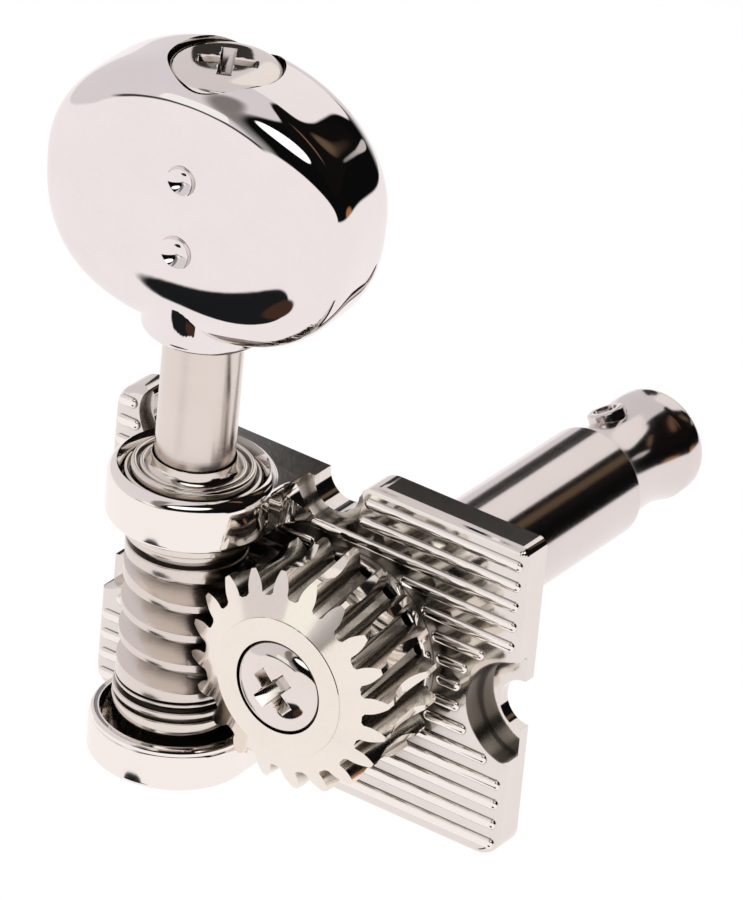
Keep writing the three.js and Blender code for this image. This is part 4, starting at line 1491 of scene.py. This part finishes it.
@dataclass
class Studio:
    """Camera, floor, world and lamps."""

    camera_place: tuple[float, float, float] = (198.4, -311.0, 218.8)
    right: tuple[float, float, float] = (0.8131, 0.5763, 0.0818)
    down: tuple[float, float, float] = (0.3435, -0.3616, -0.8668)
    forward: tuple[float, float, float] = (-0.4700, 0.7329, -0.4919)
    focal: float = 8321.93
    frame: tuple[int, int] = (743, 900)
    floor_drop: float = -45.0
    wall: tuple[float, float, float] = (0.80, 0.76, 0.78)
    ceiling: tuple[float, float, float] = (0.78, 0.74, 0.77)
    table: tuple[float, float, float] = (1.02, 0.975, 0.985)
    table_edge: tuple[float, float] = (-0.11, -0.07)
    lamp_place: tuple[float, float, float] = (-60.0, -40.0, 420.0)
    lamp_size: float = 260.0
    lamp_power: float = 1.6
    upper_cards: tuple[Card, ...] = (
        Card(86.0, 32.0, 85.0, 43.0, (0.004, 0.004, 0.004), 0.08, squareness=2.8),
        Card(122.0, 46.0, 34.0, 30.0, (0.006, 0.005, 0.005), 0.1, squareness=3.0),
        Card(122.0, 52.0, 2.0, 14.0, (0.22, 0.12, 0.07), 0.6, roll=-20.0),
        Card(-172.0, 36.0, 17.0, 19.0, (1.0, 0.95, 0.94), 0.2, squareness=4.0),
        Card(-144.5, 19.0, 5.4, 14.5, (0.04, 0.036, 0.033), 0.2, squareness=4.0),
        Card(-144.6, 30.0, 1.6, 3.0, (0.25, 0.25, 0.26), 0.4),
        Card(151.0, 34.0, 4.0, 9.0, (0.13, 0.09, 0.055), 0.9),
        Card(158.0, 15.0, 2.4, 9.0, (0.6, 0.56, 0.55), 0.4, roll=60.0),
        Card(124.0, -4.0, 9.0, 4.5, (0.40, 0.18, 0.08), 0.6),
        Card(32.0, 43.0, 25.0, 9.5, (1.5, 1.5, 1.5), 0.1, roll=14.0, squareness=2.2),
        Card(-14.0, 40.0, 7.0, 26.0, (0.24, 0.22, 0.21), 0.7),
        Card(-20.0, 1.0, 22.0, 3.2, (0.04, 0.04, 0.04), 0.3),
        Card(-21.0, 9.0, 8.5, 5.0, (1.05, 1.05, 1.02), 0.2, squareness=5.0),
        Card(3.0, 2.0, 7.0, 5.0, (0.30, 0.31, 0.25), 0.6),
    )
    table_cards: tuple[Card, ...] = (
        Card(38.0, -6.0, 44.0, 20.0, (1.02, 0.975, 0.985), 0.06),
        Card(-20.0, -12.0, 30.0, 14.0, (1.02, 0.975, 0.985), 0.1),
        Card(-17.0, -42.5, 12.0, 8.5, (0.012, 0.013, 0.015), 0.12, squareness=2.6),
        Card(-5.0, -43.5, 7.0, 5.0, (0.06, 0.03, 0.02), 0.3),
    )

    def camera(self) -> None:
        """Sets the camera where the photograph was taken from."""
        data = bpy.data.cameras.new("camera")
        camera = bpy.data.objects.new("camera", data)
        bpy.context.scene.collection.objects.link(camera)
        data.sensor_fit = "VERTICAL"
        data.sensor_height = 24.0
        data.lens = 24.0 * self.focal / self.frame[1]
        data.clip_start = 0.01
        data.clip_end = 20.0
        turn = Matrix((self.right, [-v for v in self.down], [-v for v in self.forward])).transposed()
        camera.matrix_world = Matrix.Translation(Vector(self.camera_place) * MILLIMETRE) @ turn.to_4x4()
        bpy.context.scene.camera = camera

    def world(self) -> None:
        """Paints the studio round the object, which its mirror-like surfaces show."""
        world = bpy.data.worlds.new("studio")
        bpy.context.scene.world = world
        world.use_nodes = True
        net = Net(world.node_tree)
        towards = net.node("ShaderNodeTexCoord", output="Generated")
        height = net.node("ShaderNodeVectorMath", {"operation": "DOT_PRODUCT"},
                          {0: towards, 1: (0.0, 0.0, 1.0)}, output="Value")
        colour = net.blend(height.ramp(0.0, 0.9), (*self.wall, 1.0), (*self.ceiling, 1.0))
        for card in self.upper_cards:
            colour = card.paint(net, towards, colour)
        colour = net.blend(height.ramp(*self.table_edge), (*self.table, 1.0), colour)
        for card in self.table_cards:
            colour = card.paint(net, towards, colour)
        seen = net.node("ShaderNodeLightPath", output="Is Camera Ray")
        shown = net.blend(seen, colour, (1.0, 1.0, 1.0, 1.0))
        shader = net.node("ShaderNodeBackground", {}, {"Color": shown, "Strength": 1.0})
        net.output("ShaderNodeOutputWorld", shader)

    def floor(self) -> None:
        """Lays the pale floor, white where the camera sees it apart from the shadow."""
        Bench.clear()
        bpy.ops.mesh.primitive_plane_add(size=4.0, location=(0.0, 0.0, self.floor_drop * MILLIMETRE))
        plane = bpy.context.object
        plane.name = "table"
        made = bpy.data.materials.new("white_table")
        made.use_nodes = True
        net = Net(made.node_tree)
        grain = net.noise(net.place(), 0.05, 2.0)
        colour = net.blend(grain * 0.2, (0.96, 0.95, 0.95, 1.0), (0.92, 0.91, 0.91, 1.0))
        base = net.node("ShaderNodeBsdfPrincipled", {}, {"Base Color": colour, "Roughness": 0.8})
        glow = net.node("ShaderNodeEmission", {}, {"Color": (1.0, 1.0, 1.0, 1.0), "Strength": 1.0})
        light = net.tree.nodes.new("ShaderNodeLightPath")
        direct = Wire(net, light.outputs["Is Camera Ray"]).at_least(Wire(net, light.outputs["Is Glossy Ray"]))
        mixed = net.node("ShaderNodeMixShader", {}, {0: direct * 0.9, 1: base, 2: glow})
        net.output("ShaderNodeOutputMaterial", mixed)
        plane.data.materials.append(made)
        plane.visible_glossy = False

    def lamp(self, name: str, place: Sequence[float], size: float, power: float,
             colour: Sequence[float] = (1.0, 1.0, 1.0)) -> None:
        """Hangs a soft square lamp that looks at the object.

        Args:
            name: its name.
            place: where it hangs, in millimetres.
            size: its width in millimetres.
            power: its power in watts.
            colour: its colour.
        """
        data = bpy.data.lights.new(name, "AREA")
        data.size = size * MILLIMETRE
        data.energy = power
        data.color = colour
        lamp = bpy.data.objects.new(name, data)
        bpy.context.scene.collection.objects.link(lamp)
        lamp.location = Vector(place) * MILLIMETRE
        lamp.rotation_euler = (-lamp.location).to_track_quat("-Z", "Y").to_euler()
        lamp.visible_glossy = False

    def build(self) -> None:
        """Sets the whole studio up."""
        self.world()
        self.floor()
        self.lamp("ceiling_lamp", self.lamp_place, self.lamp_size, self.lamp_power)
        bpy.context.scene.view_settings.view_transform = "Standard"


def main() -> None:
    """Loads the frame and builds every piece."""
    logging.basicConfig(level=logging.INFO, format="%(name)s: %(message)s")
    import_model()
    studio = Studio()
    studio.camera()
    bearings = ShaftBearings()
    steps: Iterable[Callable[[], object]] = (
        BasePlate().build,
        bearings.upper_bush,
        lambda: bearings.washer(bearings.upper_washer_foot, bearings.bush_bore,
                                "upper_washer", "upper_thrust_washer"),
        lambda: bearings.washer(bearings.lower_washer_foot, bearings.journal_bore,
                                "lower_washer", "lower_thrust_washer"),
        bearings.foot_bush,
        WormShaft().build,
        GearTrain().build_gear,
        GearTrain().build_screw,
        StringPost().build,
        Button().build,
        Button().build_screw,
    )
    for step in steps:
        step()
    studio.build()
    Bench.clear()


if __name__ == "__main__":
    main()
